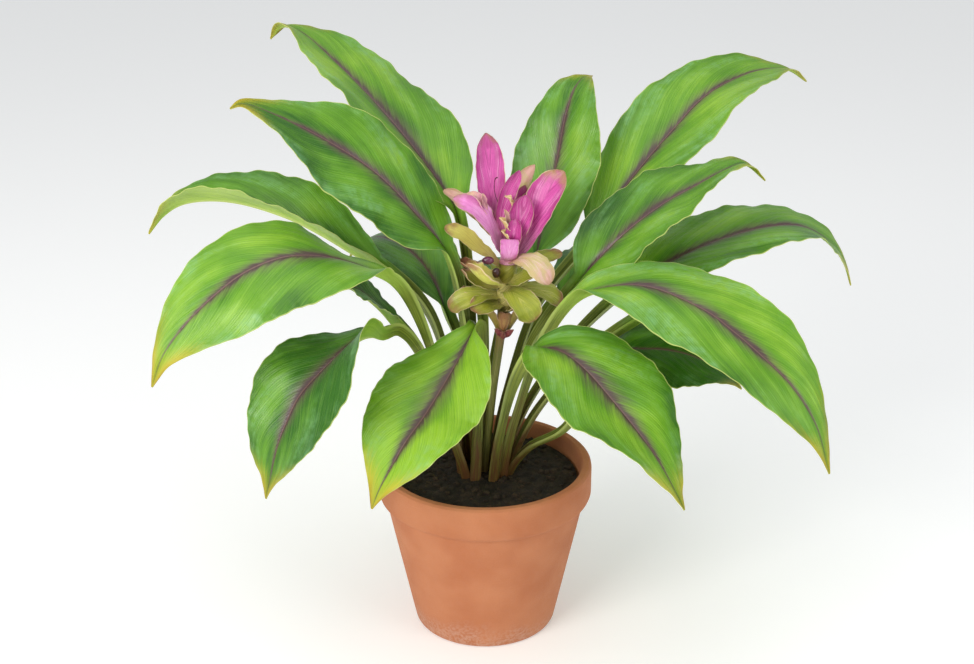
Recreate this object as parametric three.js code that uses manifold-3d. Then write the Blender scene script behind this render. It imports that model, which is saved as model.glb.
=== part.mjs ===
// Black turmeric in a plain clay pot: a clump of broad leaves round one flower spike, standing in
// potting soil. Millimetres, +Z up, the origin at the middle of the pot's flat underside. The viewer
// of the picture that it was measured from stands at -Y, with +X to their right.
import * as THREE from "three";
import { mergeVertices } from "three/addons/utils/BufferGeometryUtils.js";
import Module from "manifold-3d";

const wasm = await Module();
wasm.setup();

// Driving dimensions
const POT_HEIGHT = 180;
const POT_RIM_RADIUS = 110;
const POT_FOOT_RADIUS = 74;
const POT_WALL = 8;
const POT_FLOOR = 10;
const COLLAR_HEIGHT = 38;
const COLLAR_STEP = 7;
const SOIL_BELOW_RIM = 15;
const DRAIN_RADIUS = 7;
const DRAIN_CIRCLE = 42;
const DRAIN_COUNT = 3;
const ROUND_SIDES = 30;
const FIT_GAP = 0.3;
const ROOT_DEPTH = 28;
const HOLE_RADIUS = 5.3;
const PETIOLE_HALF_WIDTH = 4.5;
const PETIOLE_FOLD = 30;
const STALK_RADIUS = 4.5;
const BLADE_THICKNESS = 1;
const BRACT_THICKNESS = 1.2;

const SOIL_LEVEL = POT_HEIGHT - SOIL_BELOW_RIM;
const HOLE_BOTTOM = SOIL_LEVEL - ROOT_DEPTH - FIT_GAP;
const STALK_TOP = 178;
const GREEN_TOP = 232;
const PINK_TOP = 262;
const radians = THREE.MathUtils.degToRad;
const mix = THREE.MathUtils.lerp;
const smooth = (x) => THREE.MathUtils.smoothstep(x, 0, 1);

// Half-width along a leaf blade and along a bract, as a share of the widest place.
const LEAF_OUTLINE = [
  [0, 0.07],
  [0.05, 0.24],
  [0.13, 0.58],
  [0.26, 0.88],
  [0.42, 1],
  [0.58, 0.95],
  [0.72, 0.71],
  [0.84, 0.4],
  [0.93, 0.15],
  [1, 0.015],
];
const BRACT_OUTLINE = [
  [0, 0.35],
  [0.25, 0.6],
  [0.5, 0.9],
  [0.7, 1],
  [0.88, 0.8],
  [0.97, 0.4],
  [1, 0.15],
];

// Each leaf runs up its stem and out along its midrib, both as [reach from the clump's middle,
// height above the soil]. heading is the compass angle of the foot, of the blade's base and of the
// tip, in degrees from +X towards +Y. width is the widest of the blade's left and right half, seen
// from its base. roll turns the blade about its midrib at its base, middle and tip, fold lifts both
// halves from the midrib and droop bends them down again towards the margin. ripple is the wave of
// the margins: its height, its number and where it starts on the left and on the right.
const LEAVES = {
  leaf_left_top: {
    heading: [150, 144, 144],
    stem: [[12, 0], [14, 90], [20, 190]],
    midrib: [
      [32, 268], [51, 299], [93, 339], [135, 372],
      [178, 401], [223, 427], [254, 433], [273, 418],
    ],
    width: [60, 66],
    roll: [-26, 7, 10],
    fold: 14,
    droop: 8,
    ripple: [3, 2.5, 0, 0.4],
  },
  leaf_left_upper: {
    heading: [205, 193, 193],
    stem: [[12, 0], [14, 80], [21, 160]],
    midrib: [[36, 239], [71, 291], [107, 331], [156, 367], [204, 394], [225, 402], [237, 398]],
    width: [51, 51],
    roll: [-47, -46, -26],
    fold: 6,
    droop: 12,
    ripple: [3, 2.5, 0.3, 0.8],
  },
  leaf_left_arching: {
    heading: [140, 165, 165],
    stem: [[24.5, 0], [34, 75, 150], [60, 165, 158]],
    midrib: [
      [102, 213], [138, 231], [170, 247], [205, 261], [250, 271],
      [287, 272], [320, 265], [343, 250], [361, 229],
    ],
    width: [50, 47],
    roll: [0, 0, 0],
    fold: 38,
    droop: 12,
    ripple: [2, 2, 0, 0.5],
  },
  leaf_left_broad: {
    heading: [190, 208, 208],
    stem: [[24.5, 0], [35, 75, 189], [54, 140, 192], [76, 196, 202]],
    midrib: [
      [98, 229], [124, 246], [152, 260], [182, 269], [212, 271],
      [245, 263], [275, 246], [303, 224], [326, 198], [339, 169],
    ],
    width: [57, 50],
    roll: [5, -34, -40],
    fold: 3,
    droop: 15,
    ripple: [3, 2.5, 0, 0.5],
  },
  leaf_left_low: {
    heading: [215, 213, 213],
    stem: [[24.5, 0], [42, 64, 202], [64, 135, 194], [89, 171, 202]],
    midrib: [
      [116, 180], [128, 185], [142, 184], [160, 175], [183, 159],
      [207, 139], [222, 115], [233, 91], [247, 42],
    ],
    width: [60, 51],
    roll: [32, -20, -14],
    fold: 16,
    droop: 6,
    ripple: [3, 2, 0.2, 0.6],
  },
  leaf_front_left: {
    heading: [243, 240, 240],
    stem: [[24.5, 0], [17, 60], [11, 120], [10, 153]],
    midrib: [
      [17, 170], [44, 153], [80, 131], [114, 113],
      [149, 99], [175, 83], [195, 69], [207, 56],
    ],
    width: [56, 57],
    roll: [15, -7, -15],
    fold: 13,
    droop: 8,
    ripple: [3, 2, 0, 0.5],
  },
  leaf_front_right: {
    heading: [-66, -50, -50],
    stem: [[24.5, 0], [34, 60], [52, 118]],
    midrib: [
      [72, 158], [92, 170], [119, 173], [150, 164], [181, 148],
      [211, 131], [237, 114], [257, 95], [277, 73],
    ],
    width: [58, 66],
    roll: [11, 3, -18],
    fold: 13,
    droop: 8,
    ripple: [3, 2.5, 0, 0.5],
  },
  leaf_right_broad: {
    heading: [-41, -25, -25],
    stem: [[24.5, 0], [36, 65], [62, 150]],
    midrib: [
      [90, 203], [125, 225], [170, 233], [223, 219], [253, 202],
      [283, 181], [313, 156], [337, 122], [353, 76],
    ],
    width: [53, 52],
    roll: [5, 24, 30],
    fold: 6,
    droop: 12,
    ripple: [7, 2, 0.05, 0.1],
  },
  leaf_right_low: {
    heading: [-16, -10, -10],
    stem: [[24.5, 0], [46, 34], [84, 60]],
    midrib: [
      [118, 114], [140, 146], [160, 151], [185, 151],
      [212, 145], [236, 133], [256, 115],
    ],
    width: [52, 58],
    roll: [10, 14, 14],
    fold: 8,
    droop: 14,
    ripple: [2, 2, 0, 0.5],
  },
  leaf_right_upper: {
    heading: [-15, 8, 8],
    stem: [[12, 0], [22, 75], [50, 148]],
    midrib: [
      [93, 205], [119, 236], [148, 263], [179, 285],
      [209, 301], [239, 316], [258, 320], [279, 303],
    ],
    width: [58, 57],
    roll: [36, 6, -10],
    fold: 12,
    droop: 9,
    ripple: [3, 2.5, 0, 0.5],
  },
  leaf_right_arching: {
    heading: [34, 16, 16],
    stem: [[24.5, 0], [46, 60], [90, 125]],
    midrib: [
      [142, 180], [194, 212], [248, 231], [300, 240],
      [341, 237], [374, 217], [394, 192], [405, 165],
    ],
    width: [60, 60],
    roll: [20, 0, 22],
    fold: 9,
    droop: 10,
    ripple: [3, 2.5, 0.1, 0.6],
  },
  leaf_right_top: {
    heading: [40, 36, 36],
    stem: [[12, 0], [30, 80], [66, 165]],
    midrib: [
      [131, 224], [156, 256], [182, 280], [211, 304], [243, 328],
      [275, 351], [310, 365], [358, 373], [405, 369], [439, 351],
    ],
    width: [58, 56],
    roll: [8, 8, 8],
    fold: 14,
    droop: 8,
    ripple: [3, 3, 0, 0.5],
  },
  leaf_back_centre: {
    heading: [95, 60, 60],
    stem: [[12, 0], [30, 75], [66, 150]],
    midrib: [
      [98, 196], [118, 235], [136, 270], [152, 305], [163, 333],
      [174, 352], [187, 366], [206, 373], [228, 371],
    ],
    width: [46, 52],
    roll: [0, 0, 0],
    fold: 12,
    droop: 8,
    ripple: [3, 2.5, 0.1, 0.5],
  },
  leaf_right_hidden: {
    heading: [9, -2, -2],
    stem: [[24.5, 0], [52, 66], [100, 128]],
    midrib: [[148, 170], [180, 186], [215, 192], [250, 185], [285, 162], [312, 130]],
    width: [48, 48],
    roll: [10, 0, 0],
    fold: 10,
    droop: 12,
    ripple: [2, 2, 0, 0.5],
  },
  leaf_left_hidden: {
    heading: [165, 192, 192],
    stem: [[24.5, 0], [41, 70, 175], [66, 138, 187]],
    midrib: [[88, 173], [106, 195], [126, 212], [150, 224], [178, 228], [204, 220]],
    width: [38, 40],
    roll: [0, 0, 0],
    fold: 14,
    droop: 8,
    ripple: [2, 2, 0, 0.5],
  },
  leaf_back_left: {
    heading: [115, 132, 130],
    stem: [[24.5, 0], [36, 72], [48, 130]],
    midrib: [[58, 158], [76, 188], [104, 208], [146, 216], [192, 206], [232, 174]],
    width: [38, 50],
    roll: [0, 0, 0],
    fold: 10,
    droop: 12,
    ripple: [3, 2, 0, 0.5],
  },
  leaf_back: {
    heading: [88, 92, 94],
    stem: [[24.5, 0], [40, 60], [68, 112]],
    midrib: [[100, 148], [136, 166], [178, 168], [218, 148], [250, 112]],
    width: [48, 48],
    roll: [0, 0, 0],
    fold: 10,
    droop: 12,
    ripple: [2, 2, 0, 0.5],
  },
  leaf_back_right: {
    heading: [60, 44, 40],
    stem: [[24.5, 0], [40, 65], [72, 125]],
    midrib: [[108, 165], [146, 186], [188, 190], [230, 174], [268, 142], [294, 104]],
    width: [52, 52],
    roll: [0, 0, 0],
    fold: 10,
    droop: 12,
    ripple: [3, 2, 0, 0.5],
  },
};

// The spike's line above the soil, as [x, y, height].
const SPIKE = [
  [0, 0, -ROOT_DEPTH],
  [0, 0, 8],
  [7, -3, 90],
  [16, -5, 160],
  [20, -5, 200],
  [23, -4, 232],
  [26, -3, 262],
];

// Each bract runs out from the spike along its midrib of [x, y, height above the soil]. faces is the
// compass angle that its outer side looks to, width its widest half, fold and roll as for a leaf.
const GREEN_BRACTS = [
  {
    midrib: [[15, -6, 229], [4, -12, 242], [-9, -14, 253], [-24, -12, 264], [-39, -8, 270]],
    faces: 190, width: 11, fold: 15, roll: -35,
  },
  {
    midrib: [[26, -4, 227], [46, 4, 231], [61, 8, 233], [76, 10, 237]],
    faces: 10, width: 9, fold: 15, roll: 30,
  },
  {
    midrib: [[18, -10, 214], [7, -30, 222], [-5, -42, 230], [-18, -46, 246]],
    faces: 230, width: 17, fold: 22, roll: -28,
  },
  {
    midrib: [[14, -6, 208], [-3, -18, 214], [-15, -22, 222], [-23, -20, 231]],
    faces: 205, width: 11, fold: 25, roll: -30,
  },
  {
    midrib: [[14, 0, 215], [-6, -2, 222], [-18, -3, 228], [-26, -3, 234]],
    faces: 180, width: 9, fold: 35, roll: -20,
  },
  {
    midrib: [[14, -4, 200], [-6, -12, 205], [-17, -16, 207], [-25, -17, 208]],
    faces: 190, width: 8, fold: 10, roll: -10,
  },
  {
    midrib: [[16, -8, 198], [1, -18, 204], [-13, -26, 204], [-26, -28, 199], [-35, -26, 192]],
    faces: 205, width: 12, fold: 15, roll: -32,
  },
  {
    midrib: [[18, -8, 191], [7, -22, 196], [-3, -32, 198], [-14, -37, 196]],
    faces: 235, width: 12, fold: 10, roll: -30,
  },
  {
    midrib: [[19, -8, 204], [25, -26, 211], [33, -39, 208], [41, -46, 200], [48, -44, 187]],
    faces: 300, width: 15, fold: 8, roll: 8,
  },
  {
    midrib: [[22, -4, 200], [37, -8, 206], [51, -10, 206], [66, -12, 200], [76, -10, 190]],
    faces: 345, width: 11, fold: 15, roll: 28,
  },
  {
    midrib: [[21, -8, 214], [32, -24, 221], [44, -32, 228], [53, -34, 234]],
    faces: 320, width: 13, fold: 15, roll: 28,
  },
  {
    midrib: [[20, -6, 184], [27, -16, 187], [35, -20, 194]],
    faces: 325, width: 10, fold: 20, roll: 10,
  },
  {
    midrib: [[22, -2, 203], [36, 22, 210], [48, 36, 206]],
    faces: 60, width: 13, fold: 20, roll: 0,
  },
  {
    midrib: [[20, -2, 208], [16, 26, 216], [12, 44, 214]],
    faces: 100, width: 13, fold: 20, roll: 0,
  },
  {
    midrib: [[18, -4, 198], [6, 20, 203], [0, 36, 199]],
    faces: 115, width: 11, fold: 20, roll: 0,
  },
  {
    midrib: [[20, -4, 190], [30, 20, 190], [38, 34, 182]],
    faces: 65, width: 13, fold: 20, roll: 0,
  },
];
const PINK_BRACTS = [
  {
    midrib: [[20, -3, 244], [8, 2, 279], [5, 6, 315], [3, 8, 341], [1, 6, 359]],
    faces: 100, width: 15, fold: 20, roll: 0,
  },
  {
    midrib: [[25, 0, 248], [28, 10, 286], [38, 14, 308], [48, 16, 325]],
    faces: 60, width: 9, fold: 20, roll: 0,
  },
  {
    midrib: [[24, 0, 252], [31, 6, 284], [39, 8, 307]],
    faces: 80, width: 7, fold: 20, roll: 0,
  },
  {
    midrib: [[22, -6, 248], [16, -8, 280], [23, -5, 306], [33, -3, 325]],
    faces: 100, width: 9, fold: 28, roll: 0,
  },
  {
    midrib: [[28, -6, 238], [40, -8, 258], [51, -6, 285], [62, -2, 305], [76, 0, 323]],
    faces: 60, width: 18, fold: 15, roll: 0,
  },
  {
    midrib: [[26, -8, 240], [31, -13, 266], [36, -11, 286], [39, -12, 303]],
    faces: 80, width: 13, fold: 25, roll: 0,
  },
  {
    midrib: [[24, -8, 240], [27, -20, 262], [29, -19, 282]],
    faces: 85, width: 9, fold: 30, roll: 0,
  },
  {
    midrib: [[20, -8, 238], [10, -17, 262], [2, -20, 280], [-11, -21, 295], [-30, -18, 302]],
    faces: 200, width: 13, fold: 10, roll: -45,
  },
  {
    midrib: [[20, -2, 246], [-5, 0, 275], [-22, 4, 291], [-40, 8, 302]],
    faces: 180, width: 10, fold: 15, roll: -30,
  },
  {
    midrib: [[20, -5, 250], [1, -6, 281], [-13, -5, 299]],
    faces: 170, width: 9, fold: 20, roll: -20,
  },
  {
    midrib: [[24, -8, 236], [36, -26, 245], [46, -36, 245], [55, -43, 238], [62, -46, 225]],
    faces: 320, width: 13, fold: -5, roll: 22,
  },
  {
    midrib: [[22, -6, 236], [23, -22, 244], [24, -25, 263]],
    faces: 270, width: 11, fold: 25, roll: 0,
  },
  {
    midrib: [[26, 0, 240], [36, 20, 268], [46, 28, 292]],
    faces: 40, width: 12, fold: 20, roll: 0,
  },
  {
    midrib: [[22, 0, 240], [10, 20, 270], [2, 30, 300]],
    faces: 120, width: 12, fold: 20, roll: 0,
  },
];

// The round buds that sit in the bracts, as [name, x, y, height above the soil, half sizes].
const BUDS = [
  ["bud_front", 11, -19, 227, [4.2, 4.2, 4.9]],
  ["bud_left", 3, -20, 240, [5.8, 4.2, 3.9]],
];

// A closed solid between an upper and a lower sheet of points, both as rows of equal length that run
// from right to left, the rows from base to tip.
function solidBetween(upper, lower) {
  const rows = upper.length;
  const columns = upper[0].length;
  const positions = [];
  for (const sheet of [upper, lower]) {
    for (const row of sheet) {
      for (const point of row) positions.push(point.x, point.y, point.z);
    }
  }
  const top = (i, j) => i * columns + j;
  const bottom = (i, j) => rows * columns + i * columns + j;
  const index = [];
  const quad = (a, b, c, d) => index.push(a, b, c, a, c, d);
  for (let i = 0; i < rows - 1; i++) {
    for (let j = 0; j < columns - 1; j++) {
      quad(top(i, j), top(i + 1, j), top(i + 1, j + 1), top(i, j + 1));
      index.push(bottom(i, j), bottom(i + 1, j + 1), bottom(i + 1, j));
      index.push(bottom(i, j), bottom(i, j + 1), bottom(i + 1, j + 1));
    }
    quad(top(i, 0), bottom(i, 0), bottom(i + 1, 0), top(i + 1, 0));
    const j = columns - 1;
    quad(top(i, j), top(i + 1, j), bottom(i + 1, j), bottom(i, j));
  }
  for (let j = 0; j < columns - 1; j++) {
    quad(top(0, j), top(0, j + 1), bottom(0, j + 1), bottom(0, j));
    const i = rows - 1;
    quad(top(i, j), bottom(i, j), bottom(i, j + 1), top(i, j + 1));
  }
  const geometry = new THREE.BufferGeometry();
  geometry.setAttribute("position", new THREE.Float32BufferAttribute(positions, 3));
  geometry.setIndex(index);
  return geometry;
}

// The value at x of a smooth line through [x, value] pairs.
function through(pairs, x) {
  const last = pairs.length - 1;
  const i = Math.min(Math.max(pairs.findIndex((pair) => pair[0] > x) - 1, 0), last - 1);
  const k = x >= pairs[last][0] ? last - 1 : i;
  const at = (n) => pairs[Math.min(Math.max(n, 0), last)];
  const slope = (n) => (at(n + 1)[1] - at(n - 1)[1]) / (at(n + 1)[0] - at(n - 1)[0]);
  const span = at(k + 1)[0] - at(k)[0];
  const t = (x - at(k)[0]) / span;
  return (
    at(k)[1] * (2 * t ** 3 - 3 * t ** 2 + 1) +
    slope(k) * span * (t ** 3 - 2 * t ** 2 + t) +
    at(k + 1)[1] * (3 * t ** 2 - 2 * t ** 3) +
    slope(k + 1) * span * (t ** 3 - t ** 2)
  );
}

function smoothCurve(points) {
  const curve = new THREE.CatmullRomCurve3(points, false, "catmullrom", 0.5);
  curve.arcLengthDivisions = (points.length - 1) * 60;
  return curve;
}

function polar(reach, heading, height) {
  const angle = radians(heading);
  return new THREE.Vector3(reach * Math.cos(angle), reach * Math.sin(angle), height);
}

// Where a curve is after some length, with its direction, the level line across it to the left and
// the line square to both, which points up from a level blade. out is the way that the blade faces.
function frameAt(curve, length, whole, out) {
  const here = curve.getPointAt(Math.min(length / whole, 1));
  const ahead = curve.getPointAt(Math.min((length + 1) / whole, 1));
  const behind = curve.getPointAt(Math.max((length - 1) / whole, 0));
  const along = ahead.sub(behind).normalize();
  const outward = out ?? here;
  const left = new THREE.Vector3(-outward.y, outward.x, 0).normalize();
  left.addScaledVector(along, -left.dot(along)).normalize();
  const up = new THREE.Vector3().crossVectors(along, left);
  return { here, along, left, up };
}

function rolled(frame, angle) {
  const c = Math.cos(radians(angle));
  const s = Math.sin(radians(angle));
  const left = frame.left.clone().multiplyScalar(c).addScaledVector(frame.up, s);
  const up = frame.up.clone().multiplyScalar(c).addScaledVector(frame.left, -s);
  return { here: frame.here, left, up };
}

function placed(frame, sideways, lift) {
  return frame.here.clone().addScaledVector(frame.left, sideways).addScaledVector(frame.up, lift);
}

const BLADE_ROWS = [0, 0.05, 0.12, 0.2, 0.3, 0.4, 0.5, 0.6, 0.7, 0.8, 0.88, 0.95, 1];

function leafGeometry(leaf) {
  const [foot, base, tip] = leaf.heading;
  const points = [polar(leaf.stem[0][0], foot, -ROOT_DEPTH)];
  leaf.stem.forEach(([reach, height, own], k) => {
    points.push(polar(reach, own ?? mix(foot, base, k / leaf.stem.length), height));
  });
  const firstOfBlade = points.length;
  leaf.midrib.forEach(([reach, height], k) => {
    const share = k / (leaf.midrib.length - 1);
    points.push(polar(reach, mix(base, tip, share ** 2), height));
  });
  const curve = smoothCurve(points);
  const lengths = curve.getLengths(curve.arcLengthDivisions);
  const whole = lengths[lengths.length - 1];
  const stemLength = lengths[firstOfBlade * 60];

  const stations = [-1];
  const soilRow = (ROOT_DEPTH + 3) / stemLength;
  for (const share of [0, 0.3, 0.6, 0.88]) stations.push(mix(soilRow, 1, share) - 1);
  stations.push(...BLADE_ROWS);

  const upper = [];
  const lower = [];
  for (const v of stations) {
    const onBlade = Math.max(v, 0);
    const length = v < 0 ? (v + 1) * stemLength : stemLength + v * (whole - stemLength);
    const blade = smooth(onBlade / 0.18);
    const turn =
      onBlade < 0.5
        ? mix(leaf.roll[0], leaf.roll[1], smooth(onBlade / 0.5))
        : mix(leaf.roll[1], leaf.roll[2], smooth((onBlade - 0.5) / 0.5));
    const frame = rolled(frameAt(curve, length, whole), v < 0 ? turn * smooth(1 + v) : turn);
    const ribDepth = mix(4.2, 0.9, onBlade ** 0.6);
    const narrow = mix(PETIOLE_HALF_WIDTH, 0.4, onBlade);
    const top = [];
    const under = [];
    for (const column of [-3, -2, -1, 0, 1, 2, 3]) {
      const side = column < 0 ? 1 : 0;
      const sign = Math.sign(column);
      const half = Math.max(through(LEAF_OUTLINE, onBlade) * leaf.width[side], narrow);
      const rib = Math.min(mix(3.2, 0.8, onBlade) / half, 0.45);
      const step = Math.abs(column);
      const share = step === 3 ? 1 : step === 2 ? (1 + rib) / 2 : step * rib;
      const angle = radians(mix(PETIOLE_FOLD, leaf.fold, blade) - (leaf.droop * blade * share) / 2);
      const [height, number, startLeft, startRight] = leaf.ripple;
      const start = sign > 0 ? startLeft : startRight;
      const wave =
        height *
        share ** 2 *
        Math.sin(2 * Math.PI * (number * onBlade + start)) *
        Math.sin(Math.PI * onBlade) ** 0.7;
      const sideways = sign * half * share * Math.cos(angle);
      const lift = half * share * Math.sin(angle) + (v > 0 ? wave : 0);
      const stemDepth = [4.2, 3.9, 2.8, 1.2][step];
      const bladeDepth = step === 0 ? BLADE_THICKNESS + ribDepth : BLADE_THICKNESS;
      top.push(placed(frame, sideways, lift));
      under.push(placed(frame, sideways, lift - mix(stemDepth, bladeDepth, smooth(onBlade / 0.12))));
    }
    upper.push(top);
    lower.push(under);
  }
  return solidBetween(upper, lower);
}

const BRACT_ROWS = [0, 0.25, 0.5, 0.72, 0.88, 0.97, 1];

// A bract, or the room that it takes up when it is grown by a gap on every side.
function bractGeometry(bract, grown) {
  const curve = smoothCurve(bract.midrib.map(([x, y, z]) => new THREE.Vector3(x, y, z)));
  const whole = curve.getLength();
  const outer = polar(1, bract.faces, 0);
  const upper = [];
  const lower = [];
  for (const v of BRACT_ROWS) {
    const length = v === 1 ? whole + grown : v * whole;
    const frame = rolled(frameAt(curve, length, whole, outer), bract.roll);
    const half = through(BRACT_OUTLINE, v) * bract.width + grown;
    const top = [];
    const under = [];
    for (const share of [-1, -0.5, 0, 0.5, 1]) {
      const angle = radians(bract.fold);
      const sideways = half * share * Math.cos(angle * Math.abs(share));
      const lift = half * Math.abs(share) * Math.sin(angle * Math.abs(share));
      top.push(placed(frame, sideways, lift + grown));
      under.push(placed(frame, sideways, lift - BRACT_THICKNESS - grown));
    }
    upper.push(top);
    lower.push(under);
  }
  return solidBetween(upper, lower);
}

// A round stem along the spike's line from one height to another, with flat ends.
function stemGeometry(from, to, radius, sides) {
  const heights = [from];
  for (const [, , height] of SPIKE) {
    if (height > from + 1 && height < to - 1) heights.push(height);
  }
  heights.push(to);
  const spine = (height) => {
    const x = SPIKE.map((point) => [point[2], point[0]]);
    const y = SPIKE.map((point) => [point[2], point[1]]);
    return [through(x, height), through(y, height)];
  };
  const positions = [];
  const index = [];
  heights.forEach((height, i) => {
    const [x, y] = spine(height);
    const r = radius(height);
    for (let k = 0; k < sides; k++) {
      const angle = (2 * Math.PI * k) / sides;
      positions.push(x + r * Math.cos(angle), y + r * Math.sin(angle), height);
    }
    if (i === 0) return;
    for (let k = 0; k < sides; k++) {
      const next = (k + 1) % sides;
      const a = (i - 1) * sides;
      const b = i * sides;
      index.push(a + k, a + next, b + next, a + k, b + next, b + k);
    }
  });
  const last = (heights.length - 1) * sides;
  for (let k = 1; k < sides - 1; k++) {
    index.push(0, k + 1, k);
    index.push(last, last + k, last + k + 1);
  }
  const geometry = new THREE.BufferGeometry();
  geometry.setAttribute("position", new THREE.Float32BufferAttribute(positions, 3));
  geometry.setIndex(index);
  return geometry;
}

function toSolid(geometry) {
  const bare = new THREE.BufferGeometry();
  const loose = geometry.index ? geometry.toNonIndexed() : geometry;
  bare.setAttribute("position", loose.getAttribute("position"));
  const welded = mergeVertices(bare, 1e-4);
  return new wasm.Manifold(
    new wasm.Mesh({
      numProp: 3,
      vertProperties: welded.attributes.position.array,
      triVerts: new Uint32Array(welded.index.array),
    }),
  );
}

function toGeometry(solid) {
  const mesh = solid.getMesh();
  const positions = new Float32Array(mesh.numVert * 3);
  for (let i = 0; i < mesh.numVert; i++) {
    positions.set(mesh.vertProperties.subarray(i * mesh.numProp, i * mesh.numProp + 3), i * 3);
  }
  const geometry = new THREE.BufferGeometry();
  geometry.setAttribute("position", new THREE.BufferAttribute(positions, 3));
  geometry.setIndex(new THREE.BufferAttribute(mesh.triVerts, 1));
  return geometry;
}

function fused(geometries) {
  return geometries.map(toSolid).reduce((sum, next) => sum.add(next));
}

function largestBody(solid) {
  return solid.decompose().reduce((best, next) => (next.volume() > best.volume() ? next : best));
}

const group = new THREE.Group();
function addMesh(name, geometry, lift, colour, roughness) {
  const material = new THREE.MeshStandardMaterial({ color: colour, roughness, metalness: 0 });
  const mesh = new THREE.Mesh(geometry.translate(0, 0, lift), material);
  mesh.name = name;
  group.add(mesh);
}

// Pot and soil
const wallSlope = (POT_RIM_RADIUS - COLLAR_STEP - POT_FOOT_RADIUS) / (POT_HEIGHT - COLLAR_HEIGHT);
const innerRadius = (z) => POT_FOOT_RADIUS + wallSlope * z - POT_WALL;
const collarFoot = POT_HEIGHT - COLLAR_HEIGHT;
const potProfile = [
  [0, 0],
  [POT_FOOT_RADIUS - 3, 0],
  [POT_FOOT_RADIUS, 3],
  [POT_RIM_RADIUS - COLLAR_STEP, collarFoot],
  [POT_RIM_RADIUS - 2, collarFoot + 3],
  [POT_RIM_RADIUS, collarFoot + 6],
  [POT_RIM_RADIUS, POT_HEIGHT - 4],
  [POT_RIM_RADIUS - 4, POT_HEIGHT],
  [POT_RIM_RADIUS - 8, POT_HEIGHT],
  [POT_RIM_RADIUS - 11, POT_HEIGHT - 3],
  [innerRadius(collarFoot), collarFoot],
  [innerRadius(POT_FLOOR), POT_FLOOR],
  [0, POT_FLOOR],
].map(([x, y]) => new THREE.Vector2(x, y));

const upright = (geometry) => geometry.rotateX(Math.PI / 2);
function postGeometry(x, y, from, to, radius, sides) {
  const geometry = upright(new THREE.CylinderGeometry(radius, radius, to - from, sides));
  return geometry.translate(x, y, (from + to) / 2);
}

let pot = toSolid(upright(new THREE.LatheGeometry(potProfile, ROUND_SIDES)));
for (let k = 0; k < DRAIN_COUNT; k++) {
  const centre = polar(DRAIN_CIRCLE, 90 + (360 * k) / DRAIN_COUNT, 0);
  const drain = postGeometry(centre.x, centre.y, -1, POT_FLOOR + 1, DRAIN_RADIUS, 16);
  pot = pot.subtract(toSolid(drain));
}
addMesh("pot", toGeometry(pot), 0, 0xb4653c, 0.85);

const soilProfile = [
  [0, POT_FLOOR + FIT_GAP],
  [innerRadius(POT_FLOOR) - 1, POT_FLOOR + FIT_GAP],
  [innerRadius(collarFoot) - FIT_GAP, collarFoot],
  [innerRadius(collarFoot) - FIT_GAP + 1, SOIL_LEVEL - 4],
  [innerRadius(collarFoot) - 5, SOIL_LEVEL - 3],
  [75, SOIL_LEVEL - 4],
  [52, SOIL_LEVEL - 1],
  [34, SOIL_LEVEL + 1],
  [0, SOIL_LEVEL + 2],
].map(([x, y]) => new THREE.Vector2(x, y));
let soil = toSolid(upright(new THREE.LatheGeometry(soilProfile, ROUND_SIDES)));
const feet = Object.values(LEAVES).map((leaf) => polar(leaf.stem[0][0], leaf.heading[0], 0));
for (const { x, y } of [polar(0, 0, 0), ...feet]) {
  const hole = postGeometry(x, y, HOLE_BOTTOM, SOIL_LEVEL + 9, HOLE_RADIUS, 10);
  soil = soil.subtract(toSolid(hole));
}
addMesh("soil", toGeometry(soil), 0, 0x3a2a1e, 0.95);

// Leaves
for (const [name, leaf] of Object.entries(LEAVES)) {
  addMesh(name, leafGeometry(leaf), SOIL_LEVEL, 0x4a8a2a, 0.45);
}

// Flower spike
const stalkRadius = (height) => mix(STALK_RADIUS, STALK_RADIUS + 1.5, smooth((height - 150) / 25));
const stalk = stemGeometry(-ROOT_DEPTH, STALK_TOP, stalkRadius, 12);
addMesh("flower_stalk", stalk, SOIL_LEVEL, 0x7d6a35, 0.5);

const greenCore = (height) => 6 + 3 * smooth((height - STALK_TOP) / 25);
const pinkCore = (height) => 9 - 6 * smooth((height - GREEN_TOP) / 30);
const greenStem = stemGeometry(STALK_TOP + FIT_GAP, GREEN_TOP, greenCore, 12);
const green = fused([greenStem, ...GREEN_BRACTS.map((bract) => bractGeometry(bract, 0))]);
const keepOut = fused([
  stemGeometry(STALK_TOP, GREEN_TOP + FIT_GAP, (height) => greenCore(height) + FIT_GAP, 12),
  ...GREEN_BRACTS.map((bract) => bractGeometry(bract, FIT_GAP)),
]);
const pinkStem = stemGeometry(GREEN_TOP + FIT_GAP, PINK_TOP, pinkCore, 12);
const pinkPieces = fused([pinkStem, ...PINK_BRACTS.map((bract) => bractGeometry(bract, 0))]);
const pink = pinkPieces.subtract(keepOut);
const pinkRoom = fused([
  stemGeometry(GREEN_TOP, PINK_TOP + FIT_GAP, (height) => pinkCore(height) + FIT_GAP, 12),
  ...PINK_BRACTS.map((bract) => bractGeometry(bract, FIT_GAP)),
]);
for (const [name, x, y, z, size] of BUDS) {
  const ball = upright(new THREE.SphereGeometry(1, 10, 8)).scale(...size).translate(x, y, z);
  const bud = toSolid(ball).subtract(keepOut).subtract(pinkRoom);
  addMesh(name, toGeometry(largestBody(bud)), SOIL_LEVEL, 0x4a2438, 0.35);
}
addMesh("green_bracts", toGeometry(largestBody(green)), SOIL_LEVEL, 0xa9b04a, 0.5);
addMesh("pink_bracts", toGeometry(largestBody(pink)), SOIL_LEVEL, 0xc85aa8, 0.5);

export default group;
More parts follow.
